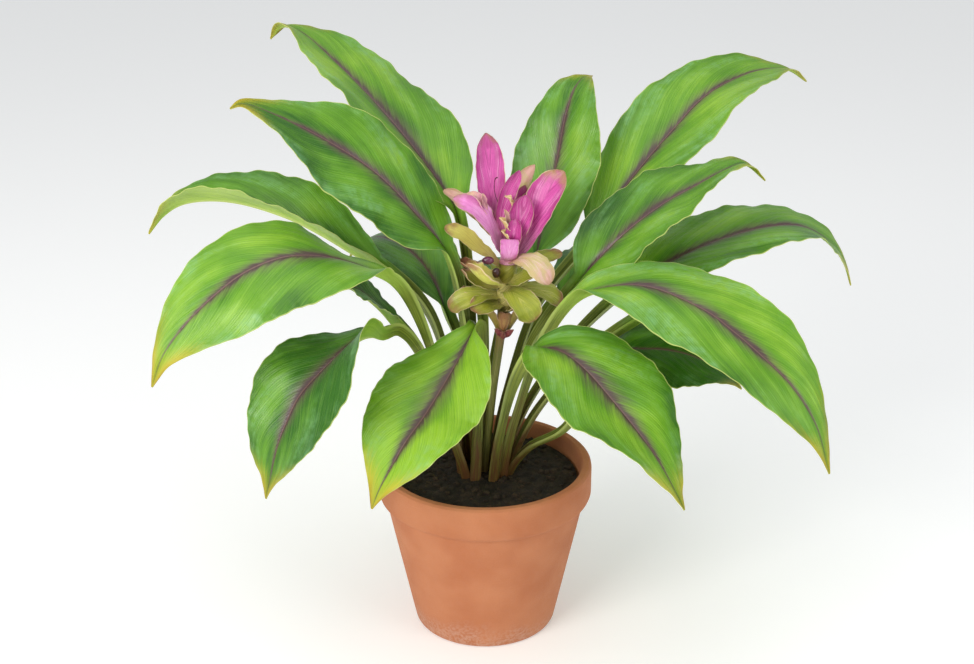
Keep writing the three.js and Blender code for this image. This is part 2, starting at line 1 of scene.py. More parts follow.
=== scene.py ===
import math
import random
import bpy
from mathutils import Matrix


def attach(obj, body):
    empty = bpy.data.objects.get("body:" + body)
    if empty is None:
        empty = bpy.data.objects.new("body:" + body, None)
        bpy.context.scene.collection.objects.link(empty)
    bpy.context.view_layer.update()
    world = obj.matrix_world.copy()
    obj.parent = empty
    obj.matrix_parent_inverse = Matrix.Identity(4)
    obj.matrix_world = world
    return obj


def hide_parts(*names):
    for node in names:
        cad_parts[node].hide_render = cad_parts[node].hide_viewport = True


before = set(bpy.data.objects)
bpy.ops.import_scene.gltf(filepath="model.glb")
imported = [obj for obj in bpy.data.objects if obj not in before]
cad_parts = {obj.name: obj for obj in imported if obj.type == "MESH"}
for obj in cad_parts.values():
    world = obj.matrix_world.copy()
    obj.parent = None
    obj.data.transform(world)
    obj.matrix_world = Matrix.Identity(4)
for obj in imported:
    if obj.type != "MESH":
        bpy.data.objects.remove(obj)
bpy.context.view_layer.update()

from types import SimpleNamespace

import bpy
import numpy as np
from mathutils import Vector, noise

bpy.ops.object.select_all(action="DESELECT")

# Black turmeric in a clay pot. The tables are in millimetres, as in the solid model, and the points
# become metres when they are placed. Heights in the leaf, spike and bract tables are above the soil.
MM = 0.001
SOIL_LEVEL = 165
ROOT_DEPTH = 28

# A leaf stalk's half width. WING is the share that it gains over the last WING_LENGTH of its length,
# FOOT_SWELL the share that it gains at its foot. Its halves are folded up by PETIOLE_FOLD degrees,
# and by WING_FOLD where it widens.
PETIOLE_HALF_WIDTH = 5.2
WING = 0.75
WING_LENGTH = 0.55
FOOT_SWELL = 0.3
PETIOLE_FOLD = 30
WING_FOLD = 48

# Thicknesses. Where there are two numbers, they hold at the blade's base and at its tip.
PETIOLE_THICKNESS = 3.3
BLADE_THICKNESS = 0.55
BRACT_THICKNESS = 0.7
RIB_THICKNESS = (4.2, 0.7)
RIB_HALF_WIDTH = (3.0, 1.2)
RIB_GROOVE = (1.1, 0.35)

# Veins leave the midrib and sweep forward by this share of the blade's length, in a slight curve.
VEIN_SWEEP = 0.42
VEIN_CURVE = 1.15

# How many rows and columns of points a blade has, and how many short pieces a line has between two
# points of its table.
LEAF_COLUMNS = 46
PETIOLE_ROWS = 40
BLADE_ROWS = 150
BRACT_COLUMNS = 22
BRACT_ROWS = 34
STYLE_ROWS = 32
LINE_STEPS = 60

# The columns of a blade crowd towards its midrib by this power.
COLUMN_CROWDING = 1.15

# Camera and lights
CAMERA_TARGET = (2, 0, 390)
CAMERA_DISTANCE = 1500
CAMERA_ELEVATION = math.radians(20)
CAMERA_AIM_HEIGHT = 322
CAMERA_LENS = 56.5


def add_camera():
    back = Vector((0, -math.cos(CAMERA_ELEVATION), math.sin(CAMERA_ELEVATION)))
    place = Vector(CAMERA_TARGET) + back * CAMERA_DISTANCE
    aim = Vector((CAMERA_TARGET[0], CAMERA_TARGET[1], CAMERA_AIM_HEIGHT))
    bpy.ops.object.camera_add(location=place * MM)
    camera = bpy.context.object
    camera.rotation_euler = (aim - place).to_track_quat("-Z", "Y").to_euler()
    camera.data.lens = CAMERA_LENS
    camera.data.sensor_width = 36
    camera.data.clip_start = 0.05
    bpy.context.scene.camera = camera


def add_soft_light(name, place, aim, size, watts, colour):
    bpy.ops.object.light_add(type="AREA", location=place)
    light = bpy.context.object
    light.name = name
    light.rotation_euler = (Vector(aim) - Vector(place)).to_track_quat("-Z", "Y").to_euler()
    light.data.shape = "RECTANGLE"
    light.data.size, light.data.size_y = size
    light.data.energy = watts
    light.data.color = colour


def light_studio():
    add_soft_light("key_softbox", (-1.5, -1.9, 1.5), (0, 0, 0.35), (1.3, 1.3), 46, (1, 0.98, 0.95))
    add_soft_light("fill_softbox", (1.9, -1.5, 1.1), (0, 0, 0.35), (1.2, 1.6), 14, (0.95, 0.98, 1))
    add_soft_light("top_softbox", (0, -0.3, 2.3), (0, 0, 0.3), (1.8, 1.8), 12, (1, 1, 1))
    world = bpy.data.worlds.new("studio_air")
    world.use_nodes = True
    air = world.node_tree.nodes["Background"].inputs
    air["Color"].default_value = (0.95, 0.975, 1, 1)
    air["Strength"].default_value = 0.56
    bpy.context.scene.world = world
    bpy.context.scene.view_settings.view_transform = "Standard"


# Shader helpers
def arithmetic(operation, swapped=False):
    def combine(self, other):
        pair = (other, self) if swapped else (self, other)
        return maths(operation, *pair)

    return combine


class Wire:
    """A node's output. + - * / and ** on wires and numbers make maths nodes."""

    def __init__(self, socket):
        self.socket = socket

    __add__, __radd__ = arithmetic("ADD"), arithmetic("ADD", swapped=True)
    __sub__, __rsub__ = arithmetic("SUBTRACT"), arithmetic("SUBTRACT", swapped=True)
    __mul__, __pow__ = arithmetic("MULTIPLY"), arithmetic("POWER")
    __truediv__, __rtruediv__ = arithmetic("DIVIDE"), arithmetic("DIVIDE", swapped=True)


def wires(sockets):
    """The sockets' wires by their names, as in run.streak."""
    names = (socket.name.lower().replace(" ", "_") for socket in sockets)
    return SimpleNamespace(**dict(zip(names, map(Wire, sockets))))


def feed(socket, value):
    """Links the socket to a wire, or sets a number or colour there."""
    if isinstance(value, Wire):
        socket.id_data.links.new(value.socket, socket)
    elif isinstance(value, tuple) and len(value) == 3 and socket.type == "RGBA":
        socket.default_value = (*value, 1)
    else:
        socket.default_value = value


def feed_named(made, **values):
    """Feeds the inputs of these names, which are written with _ for a space."""
    for label, value in values.items():
        feed(made.inputs[label.replace("_", " ")], value)


def add_node(tree, kind, **settings):
    made = tree.nodes.new(kind)
    for name, value in settings.items():
        setattr(made, name, value)
    return made


def fed_node(kind, values, **settings):
    """The outputs of a new node in the tree of its values, each fed to the input of its key."""
    tree = next(value.socket.id_data for value in values.values() if isinstance(value, Wire))
    made = add_node(tree, kind, **settings)
    for key, value in values.items():
        feed(made.inputs[key], value)
    return [Wire(output) for output in made.outputs]


def maths(operation, a, b=0.0):
    return fed_node("ShaderNodeMath", {0: a, 1: b}, operation=operation)[0]


def blended(share, a, b, blend_type="MIX"):
    """Colour a at share 0 and b at share 1."""
    values = {0: share, 6: a, 7: b}
    return fed_node("ShaderNodeMix", values, data_type="RGBA", blend_type=blend_type)[2]


def layered(colour, *layers):
    """The colour under layers of (share, colour)."""
    for share, over in layers:
        colour = blended(share, colour, over)
    return colour


def tinted(share, colour, by):
    """The colour, multiplied by another as far as share says."""
    return blended(share, colour, by, "MULTIPLY")


def eased(value, low, high, from_=0.0, to=1.0):
    """A soft step: from_ where value is below low, to where it is above high."""
    values = {"Value": value, "From Min": low, "From Max": high, "To Min": from_, "To Max": to}
    return fed_node("ShaderNodeMapRange", values, interpolation_type="SMOOTHSTEP")[0]


def cloudy(vector, scale=1.0, detail=3.0, roughness=0.5):
    values = {"Vector": vector, "Scale": scale, "Detail": detail, "Roughness": roughness}
    return fed_node("ShaderNodeTexNoise", values)[0]


def point(x, y, z):
    return fed_node("ShaderNodeCombineXYZ", {0: x, 1: y, 2: z})[0]


def parts_of(vector):
    return fed_node("ShaderNodeSeparateXYZ", {0: vector})


def object_place(tree):
    return Wire(add_node(tree, "ShaderNodeTexCoord").outputs["Object"])


def start_group(name, inputs, outputs):
    """A node group with number sockets. inputs holds each one's usual value."""
    tree = bpy.data.node_groups.new(name, "ShaderNodeTree")
    for label, value in inputs.items():
        socket = tree.interface.new_socket(label, in_out="INPUT", socket_type="NodeSocketFloat")
        socket.default_value = value
    for label in outputs:
        tree.interface.new_socket(label, in_out="OUTPUT", socket_type="NodeSocketFloat")
    given = wires(tree.nodes.new("NodeGroupInput").outputs)
    return tree, given, tree.nodes.new("NodeGroupOutput").inputs


def place_group(tree, group, **values):
    made = add_node(tree, "ShaderNodeGroup", node_tree=group)
    feed_named(made, **values)
    return wires(made.outputs)


def start_material(name, roughness, **plain):
    material = bpy.data.materials.new(name)
    material.use_nodes = True
    shader = material.node_tree.nodes["Principled BSDF"]
    feed_named(shader, Roughness=roughness, **plain)
    return material, material.node_tree, shader


def raise_relief(shader, height, depth_mm, strength):
    values = {"Height": height, "Distance": depth_mm * MM, "Strength": strength}
    feed(shader.inputs["Normal"], fed_node("ShaderNodeBump", values)[0])


# Each layer of veins: how many to a blade's length, how far it stretches across, and its detail.
VEIN_LAYERS = ((5.0, 1.3, 2.0), (34.0, 2.2, 3.0), (170.0, 2.6, 1.0))
VEIN_WAVES = 290.0
VEIN_WOBBLE = 9.0


def make_vein_group():
    """Veins that leave the midrib and sweep forward to the margin. Patch, Streak and Line go from
    broad bands to fine lines, Vein is a row of even ones, and Height is the relief of the fine ones."""
    tree, given, out = start_group(
        "vein_run",
        {"Along": 0, "Across": 0, "Seed": 0, "Sweep": VEIN_SWEEP, "Count": 1},
        ("Patch", "Streak", "Line", "Vein", "Height"),
    )
    bent = given.across ** VEIN_CURVE * given.sweep
    root = (given.along - bent) * given.count
    seed = given.seed * 7.3
    finds = []
    for label, (count, stretch, detail) in zip(("Patch", "Streak", "Line"), VEIN_LAYERS):
        place = point(root * count, given.across * stretch, seed)
        finds.append(cloudy(place, 1.0, detail, 0.6))
        feed(out[label], eased(finds[-1], 0.3, 0.7))
    streak, line = finds[1:]
    vein = eased(maths("SINE", root * VEIN_WAVES + streak * VEIN_WOBBLE), 0.2, 1.0)
    feed(out["Vein"], vein)
    feed(out["Height"], line * 0.45 + streak * 0.3 + vein * -0.22)
    return tree


def make_speckle_group():
    """Two sizes of soft blotch on Object coordinates, as masks."""
    tree, given, out = start_group("speckle", {"Size mm": 10, "Softness": 0.2}, ("Blotch", "Fine"))
    scale = 1 / MM / given.size_mm
    low, high = 0.5 - given.softness, 0.5 + given.softness
    feed(out["Blotch"], eased(cloudy(object_place(tree), scale, 4.0), low, high))
    feed(out["Fine"], eased(cloudy(object_place(tree), scale * 8.0, 3.0, 0.6), low, high))
    return tree


def blade_place(tree):
    """Along, from -1 at the foot over 0 at the blade's base to 1 at the tip, across with its sign and
    without, from 0 at the midrib to 1 at the margin, and the traits that a leaf or bract carries."""
    place = parts_of(Wire(add_node(tree, "ShaderNodeUVMap", uv_map="blade").outputs[0]))
    signed, along = (part * 2.0 - 1.0 for part in place[:2])
    traits = add_node(tree, "ShaderNodeAttribute", attribute_name="traits").outputs["Vector"]
    return along, signed, maths("ABSOLUTE", signed), parts_of(Wire(traits))


# Linear colours, judged. A shade multiplies the colour under it.
DEEP_GREEN = (0.028, 0.135, 0.003)
BRIGHT_GREEN = (0.120, 0.315, 0.005)
YELLOW_GREEN = (0.275, 0.500, 0.022)
# Grey-green of a waxy bloom and of painted sheen.
GREY_GREEN_BLOOM_AND_SHEEN = (0.220, 0.470, 0.230)
LINE_SHADE = (0.58, 0.70, 0.55)
VEIN_SHADE = (0.58, 0.72, 0.52)
LINE_LIGHT = (0.40, 0.58, 0.12)
FLAME = (0.075, 0.034, 0.040)
FLAME_HALO = (0.120, 0.085, 0.060)
RIB_LINE = (0.200, 0.110, 0.090)
MARGIN_LINE = (0.50, 0.56, 0.16)
TIP_YELLOW = (0.62, 0.45, 0.020)
TIP_BROWN = (0.30, 0.130, 0.020)
UNDER_GREEN = (0.200, 0.360, 0.025)
# Pale underside green, raised by painted light that stands for light shining through the leaf.
PALE_UNDER_WITH_PAINTED_LIGHT = (0.420, 0.600, 0.080)
UNDER_SHADE = (0.66, 0.74, 0.6)
PALE_RIB = (0.46, 0.54, 0.15)
OLIVE_DARK = (0.085, 0.125, 0.008)
OLIVE_LIGHT = (0.250, 0.300, 0.030)
BASE_BROWN = (0.150, 0.042, 0.014)
STALK_DARK = (0.19, 0.21, 0.035)
STALK_LIGHT = (0.36, 0.33, 0.09)
STALK_RED = (0.26, 0.055, 0.045)
CLAY_DARK = (0.47, 0.155, 0.060)
CLAY_LIGHT = (0.56, 0.215, 0.095)
CLAY_GRIT = (0.36, 0.11, 0.045)
CHALK = (0.66, 0.50, 0.40)


def petiole_colour(along, signed, seed):
    """Olive leaf stalks that turn red-brown towards the soil, with fine lengthwise lines."""
    streaks = cloudy(point(signed * 9.0, along * 3.0, seed), 1.0, 3.0, 0.65)
    rim = eased(maths("ABSOLUTE", signed), 0.80, 1.0, 0.0, 0.6)
    blush = cloudy(point(signed * 1.5, along * 5.0, seed), 1.0, 2.0)
    low = eased(along + streaks * 0.4 + blush * 0.9, -0.30, 0.30, 0.92, 0.0)
    light = eased(streaks, 0.34, 0.64)
    return layered(OLIVE_DARK, (light, OLIVE_LIGHT), (rim, PALE_RIB), (low, BASE_BROWN)), streaks


def leaf_greens(run, spots, tone_and_painted_light, signed, across, seed):
    """Bands and fine lines of deep, bright and yellow green, with grey-green patches that are partly a waxy
    bloom and partly painted sheen.
    """
    middle = eased(across, 0.15, 0.45) * eased(across, 0.5, 0.95, 1.0, 0.0)
    # Painted light: one half of each blade is lighter, as the halves of a folded leaf face the light
    # unevenly.
    painted_lit_half = signed * maths("SINE", seed * 2.4) * 0.16
    # tone is partly the leaf's own colour and partly painted light and shade, set per leaf.
    lean = tone_and_painted_light * 1.1 + run.patch * 0.32 + spots.blotch * 0.46 + run.streak * 0.09
    lean = lean + middle * 0.20 + painted_lit_half - 0.60
    # Grey-green patches: partly a waxy bloom, partly painted sheen where the leaf would reflect light.
    bloom = eased(across, 0.2, 0.8) * spots.fine * eased(run.patch, 0.3, 1.0)
    green = layered(
        DEEP_GREEN,
        (eased(lean, -0.05, 0.55), BRIGHT_GREEN),
        (eased(lean, 0.45, 1.05), YELLOW_GREEN),
        (bloom * 0.5, GREY_GREEN_BLOOM_AND_SHEEN),
    )
    green = tinted(eased(run.line, 0.5, 0.1, 0.0, 0.34), green, LINE_SHADE)
    green = tinted(eased(run.vein, 0.50, 0.95, 0.0, 0.34), green, VEIN_SHADE)
    return blended(eased(run.line, 0.6, 1.0, 0.0, 0.10), green, LINE_LIGHT)


def flame_over(green, run, along, across, flame):
    """The purple-brown flame along the midrib: a dark core in a soft halo, both with brushed edges."""
    grow = eased(along, -0.02, 0.34, 0.42, 1.0)
    fade = eased(along, 0.45, 1.0, 1.0, 0.26)
    width = grow * fade * flame
    line, streak, patch = run.line - 0.5, run.streak - 0.5, run.patch - 0.5
    brushed = line * 0.028 + streak * 0.05 + patch * 0.04
    reach = (across + brushed * width) / width
    started = eased(along, -0.03, 0.08)
    halo = eased(reach, 0.02, 0.30, 0.66, 0.0) * started
    core = eased(reach, 0.025, 0.115, 0.90, 0.0) * started
    return layered(green, (halo, FLAME_HALO), (core, FLAME))


def make_leaf_material(side, veins, speckle):
    """The glossy upper side, with the dark flame along its midrib, or the paler underside, brightened by
    painted light.
    """
    material, tree, shader = start_material("leaf_" + side, 0.4)
    # tone is partly the leaf's own yellowness and partly painted light and shade, set per leaf.
    along, signed, across, (tone_and_painted_light, flame, seed) = blade_place(tree)
    run = place_group(tree, veins, Along=along, Across=across, Seed=seed)
    spots = place_group(tree, speckle, Size_mm=70.0, Softness=0.22)
    if side == "upper":
        green = leaf_greens(run, spots, tone_and_painted_light, signed, across, seed)
    else:
        lean = tone_and_painted_light + run.patch * 0.3 + spots.blotch * 0.3 - 0.3
        # The underside's pale green is partly painted light shining through the leaf.
        green = blended(eased(lean, 0.0, 0.9), UNDER_GREEN, PALE_UNDER_WITH_PAINTED_LIGHT)
        green = tinted(eased(run.line, 0.55, 0.15, 0.0, 0.5), green, UNDER_SHADE)

    # The tip, and the margin near it, turn yellow and then brown.
    ageing = along + across * 0.13 + run.streak * 0.05 + spots.blotch * 0.07 + tone_and_painted_light * 0.05
    yellowed, browned = eased(ageing, 0.96, 1.20, 0.0, 0.85), eased(ageing, 1.12, 1.24, 0.0, 0.7)
    green = layered(green, (yellowed, TIP_YELLOW), (browned, TIP_BROWN))

    if side == "upper":
        green = flame_over(green, run, along, across, flame)
        green = blended(eased(across, 0.006, 0.016, 0.75, 0.0), green, RIB_LINE)
    else:
        green = blended(eased(across, 0.02, 0.07, 0.8, 0.0), green, PALE_RIB)
    rim = eased(across, 0.978, 0.994) * eased(along, 0.0, 0.06)
    green = blended(rim * 0.8, green, MARGIN_LINE)

    stalk, stalk_lines = petiole_colour(along, signed, seed)
    on_blade = eased(along + run.streak * 0.05, -0.10, 0.10)
    smoothest = 0.30 if side == "upper" else 0.46
    feed_named(
        shader, Base_Color=blended(on_blade, stalk, green),
        Roughness=smoothest + spots.fine * 0.10 + run.streak * 0.06,
    )
    raise_relief(shader, run.height + stalk_lines * 0.6, 0.5, 0.9)
    return material


# Each finish holds the colours at a bract's base, over its body and in its veins, three of each: its
# own, the one that a bract turns to and that of a pale one. tip and rim are the dry tip and edge.
BRACT_FINISHES = {
    "green_bract": dict(
        base=((0.74, 0.66, 0.22), (0.42, 0.17, 0.11), (0.82, 0.74, 0.32)),
        body=((0.44, 0.46, 0.040), (0.24, 0.045, 0.045), (0.74, 0.70, 0.15)),
        vein=((0.26, 0.31, 0.020), (0.12, 0.02, 0.03), (0.60, 0.54, 0.10)),
        tip=(0.34, 0.13, 0.07), rim=(0.66, 0.50, 0.28),
    ),
    "pink_bract": dict(
        base=((0.86, 0.40, 0.62), (0.82, 0.34, 0.42), (0.92, 0.60, 0.78)),
        body=((0.70, 0.085, 0.40), (0.62, 0.62, 0.19), (0.90, 0.40, 0.74)),
        vein=((0.38, 0.010, 0.17), (0.54, 0.46, 0.13), (0.72, 0.14, 0.50)),
        tip=(0.46, 0.27, 0.10), rim=(0.66, 0.52, 0.30),
    ),
    "stem_sheath": dict(
        base=((0.26, 0.035, 0.035), (0.42, 0.30, 0.07), (0.56, 0.40, 0.12)),
        body=((0.32, 0.050, 0.055), (0.40, 0.37, 0.05), (0.60, 0.42, 0.12)),
        vein=((0.14, 0.015, 0.02), (0.28, 0.18, 0.03), (0.34, 0.12, 0.05)),
        tip=(0.34, 0.15, 0.09), rim=(0.52, 0.30, 0.20),
    ),
    "floret": dict(
        base=((0.86, 0.66, 0.30), (0.86, 0.66, 0.30), (0.90, 0.74, 0.44)),
        body=((0.88, 0.72, 0.34), (0.80, 0.36, 0.50), (0.92, 0.80, 0.58)),
        vein=((0.80, 0.52, 0.16), (0.70, 0.24, 0.40), (0.86, 0.62, 0.34)),
        tip=(0.70, 0.45, 0.16), rim=(0.90, 0.78, 0.55),
    ),
}


def make_bract_material(name, veins, speckle, base, body, vein, tip, rim):
    """Bracts: paler at the base, veined lengthwise, with papery brown tips and edges. The traits are
    how far a bract has turned, or below 0 how pale it is, how brown its tip is, and its seed."""
    material, tree, shader = start_material(name, 0.4, Coat_Weight=0.25, Coat_Roughness=0.2)
    along, _, across, (turned, browned, seed) = blade_place(tree)
    paled = eased(turned, -1.0, 0.0, 1.0, 0.0)
    turned = eased(turned, 0.0, 1.0)
    run = place_group(tree, veins, Along=along, Across=across, Seed=seed, Sweep=0.9, Count=0.45)
    spots = place_group(tree, speckle, Size_mm=9.0, Softness=0.18)
    rising = eased(along + run.streak * 0.12, 0.05, 0.62)
    own, other, pale = (blended(rising, low, high) for low, high in zip(base, body))
    veined = layered(vein[0], (turned, vein[1]), (paled, vein[2]))
    ripened = eased(along + spots.blotch * 0.25, 0.75, 1.15, 0.0, 0.6)
    # Pale streaks: partly the bract's own white-pink streaks, partly painted highlight where its curve would
    # catch the light.
    light = eased(run.patch, 0.45, 1.0) * eased(run.line, 0.3, 0.9) * 0.4
    flushed = eased(across + spots.blotch * 0.35, 0.75, 1.25, 0.0, 0.55)
    dry = along + across * 0.10 + spots.blotch * 0.10 + run.streak * 0.06 + browned * 0.32
    edge = eased(across + spots.blotch * 0.04, 0.955, 1.0) * eased(along, 0.2, 0.6, 0.3, 0.9)
    colour = layered(
        own,
        (turned * eased(along, 0.1, 0.55, 1.0, 0.8), other),
        (paled, pale),
        (eased(run.streak, 0.4, 0.9, 0.0, 0.65), veined),
        (eased(run.line, 0.5, 0.1, 0.0, 0.55), veined),
        (ripened, blended(turned, veined, base[1])),
        (light, base[2]),
        (flushed, veined),
        (eased(dry, 1.02, 1.26, 0.0, 0.9), tip),
        (edge, rim),
    )
    feed_named(shader, Base_Color=colour, Roughness=0.30 + spots.fine * 0.16)
    raise_relief(shader, run.height + spots.fine * 0.25, 0.5, 0.9)
    return material


def make_stalk_material():
    """The flower stalk: red-brown at its foot, reddened again below the bracts."""
    material, tree, shader = start_material("stalk", 0.5)
    along, signed, _, _ = blade_place(tree)
    lines = cloudy(point(signed * 14.0, along * 3.0, 2.0))
    reddened = along + lines * 0.5
    top = eased(reddened, 0.75, 1.25, 0.0, 0.8)
    body = layered(STALK_DARK, (eased(lines, 0.3, 0.7), STALK_LIGHT), (top, STALK_RED))
    feed_named(shader, Base_Color=blended(eased(reddened, -0.7, -0.1), BASE_BROWN, body))
    raise_relief(shader, lines, 0.5, 0.8)
    return material


def make_bud_material(name, dark, light, speckle):
    material, tree, shader = start_material(name, 0.26, Coat_Weight=0.4, Coat_Roughness=0.15)
    spots = place_group(tree, speckle, Size_mm=5.0, Softness=0.25)
    feed_named(shader, Base_Color=blended(spots.blotch, dark, light))
    raise_relief(shader, spots.fine, 0.12, 0.4)
    return material


def make_clay_material(speckle):
    """Gritty fired clay with faint turning marks and a chalky bloom low on the wall."""
    material, tree, shader = start_material("fired_clay", 0.85)
    spots = place_group(tree, speckle, Size_mm=45.0, Softness=0.25)
    grit = place_group(tree, speckle, Size_mm=3.0, Softness=0.2)
    height = parts_of(object_place(tree))[2]
    chalk = eased(height + spots.blotch * 0.02, 0.012, 0.045, 0.35, 0.0) * grit.blotch
    body = layered(
        CLAY_DARK, (spots.blotch, CLAY_LIGHT), (grit.fine * 0.25, CLAY_GRIT), (chalk, CHALK)
    )
    feed_named(shader, Base_Color=body, Roughness=eased(spots.fine, 0.0, 1.0, 0.78, 0.92))
    turned = cloudy(point(0.5, 0.5, height * 620.0), 1.0, 3.0, 0.6)
    raise_relief(shader, grit.blotch * 0.7 + grit.fine + turned * 2.2, 0.28, 0.6)
    return material


def make_soil_material(name, dark, light, speckle):
    material, tree, shader = start_material(name, 0.95)
    spots = place_group(tree, speckle, Size_mm=9.0, Softness=0.2)
    feed_named(
        shader, Base_Color=blended(spots.blotch * spots.fine, dark, light),
        Roughness=eased(spots.fine, 0.0, 1.0, 0.85, 1.0),
    )
    raise_relief(shader, spots.blotch + spots.fine, 1.2, 1.0)
    return material


def make_materials():
    veins, speckle = make_vein_group(), make_speckle_group()
    made = {"leaf": [make_leaf_material(side, veins, speckle) for side in ("upper", "under")]}
    for name, colours in BRACT_FINISHES.items():
        made[name] = make_bract_material(name, veins, speckle, **colours)
    made["stalk"] = make_stalk_material()
    for name, dark, light in (
        ("bud_front", (0.030, 0.006, 0.010), (0.090, 0.022, 0.018)),
        ("bud_left", (0.075, 0.012, 0.040), (0.200, 0.045, 0.110)),
    ):
        made[name] = make_bud_material(name, dark, light, speckle)
    made["clay"] = make_clay_material(speckle)
    for name, dark, light in (
        ("soil", (0.016, 0.010, 0.006), (0.085, 0.050, 0.028)),
        ("crumb", (0.026, 0.015, 0.009), (0.13, 0.078, 0.043)),
    ):
        made[name] = make_soil_material(name, dark, light, speckle)
    return made


# Shapes
LEAF_OUTLINE = [
    (0, 0.07), (0.05, 0.24), (0.13, 0.58), (0.26, 0.88), (0.42, 1),
    (0.58, 0.95), (0.72, 0.71), (0.84, 0.4), (0.93, 0.15), (1, 0.015),
]
BRACT_OUTLINE = [(0, 0.35), (0.25, 0.6), (0.5, 0.9), (0.7, 1), (0.88, 0.8), (0.97, 0.4), (1, 0.15)]
SQUARISH_OUTLINE = [(0, 0.5), (0.25, 0.75), (0.5, 0.92), (0.75, 1), (0.93, 1.02), (0.985, 0.95), (1, 0.86)]
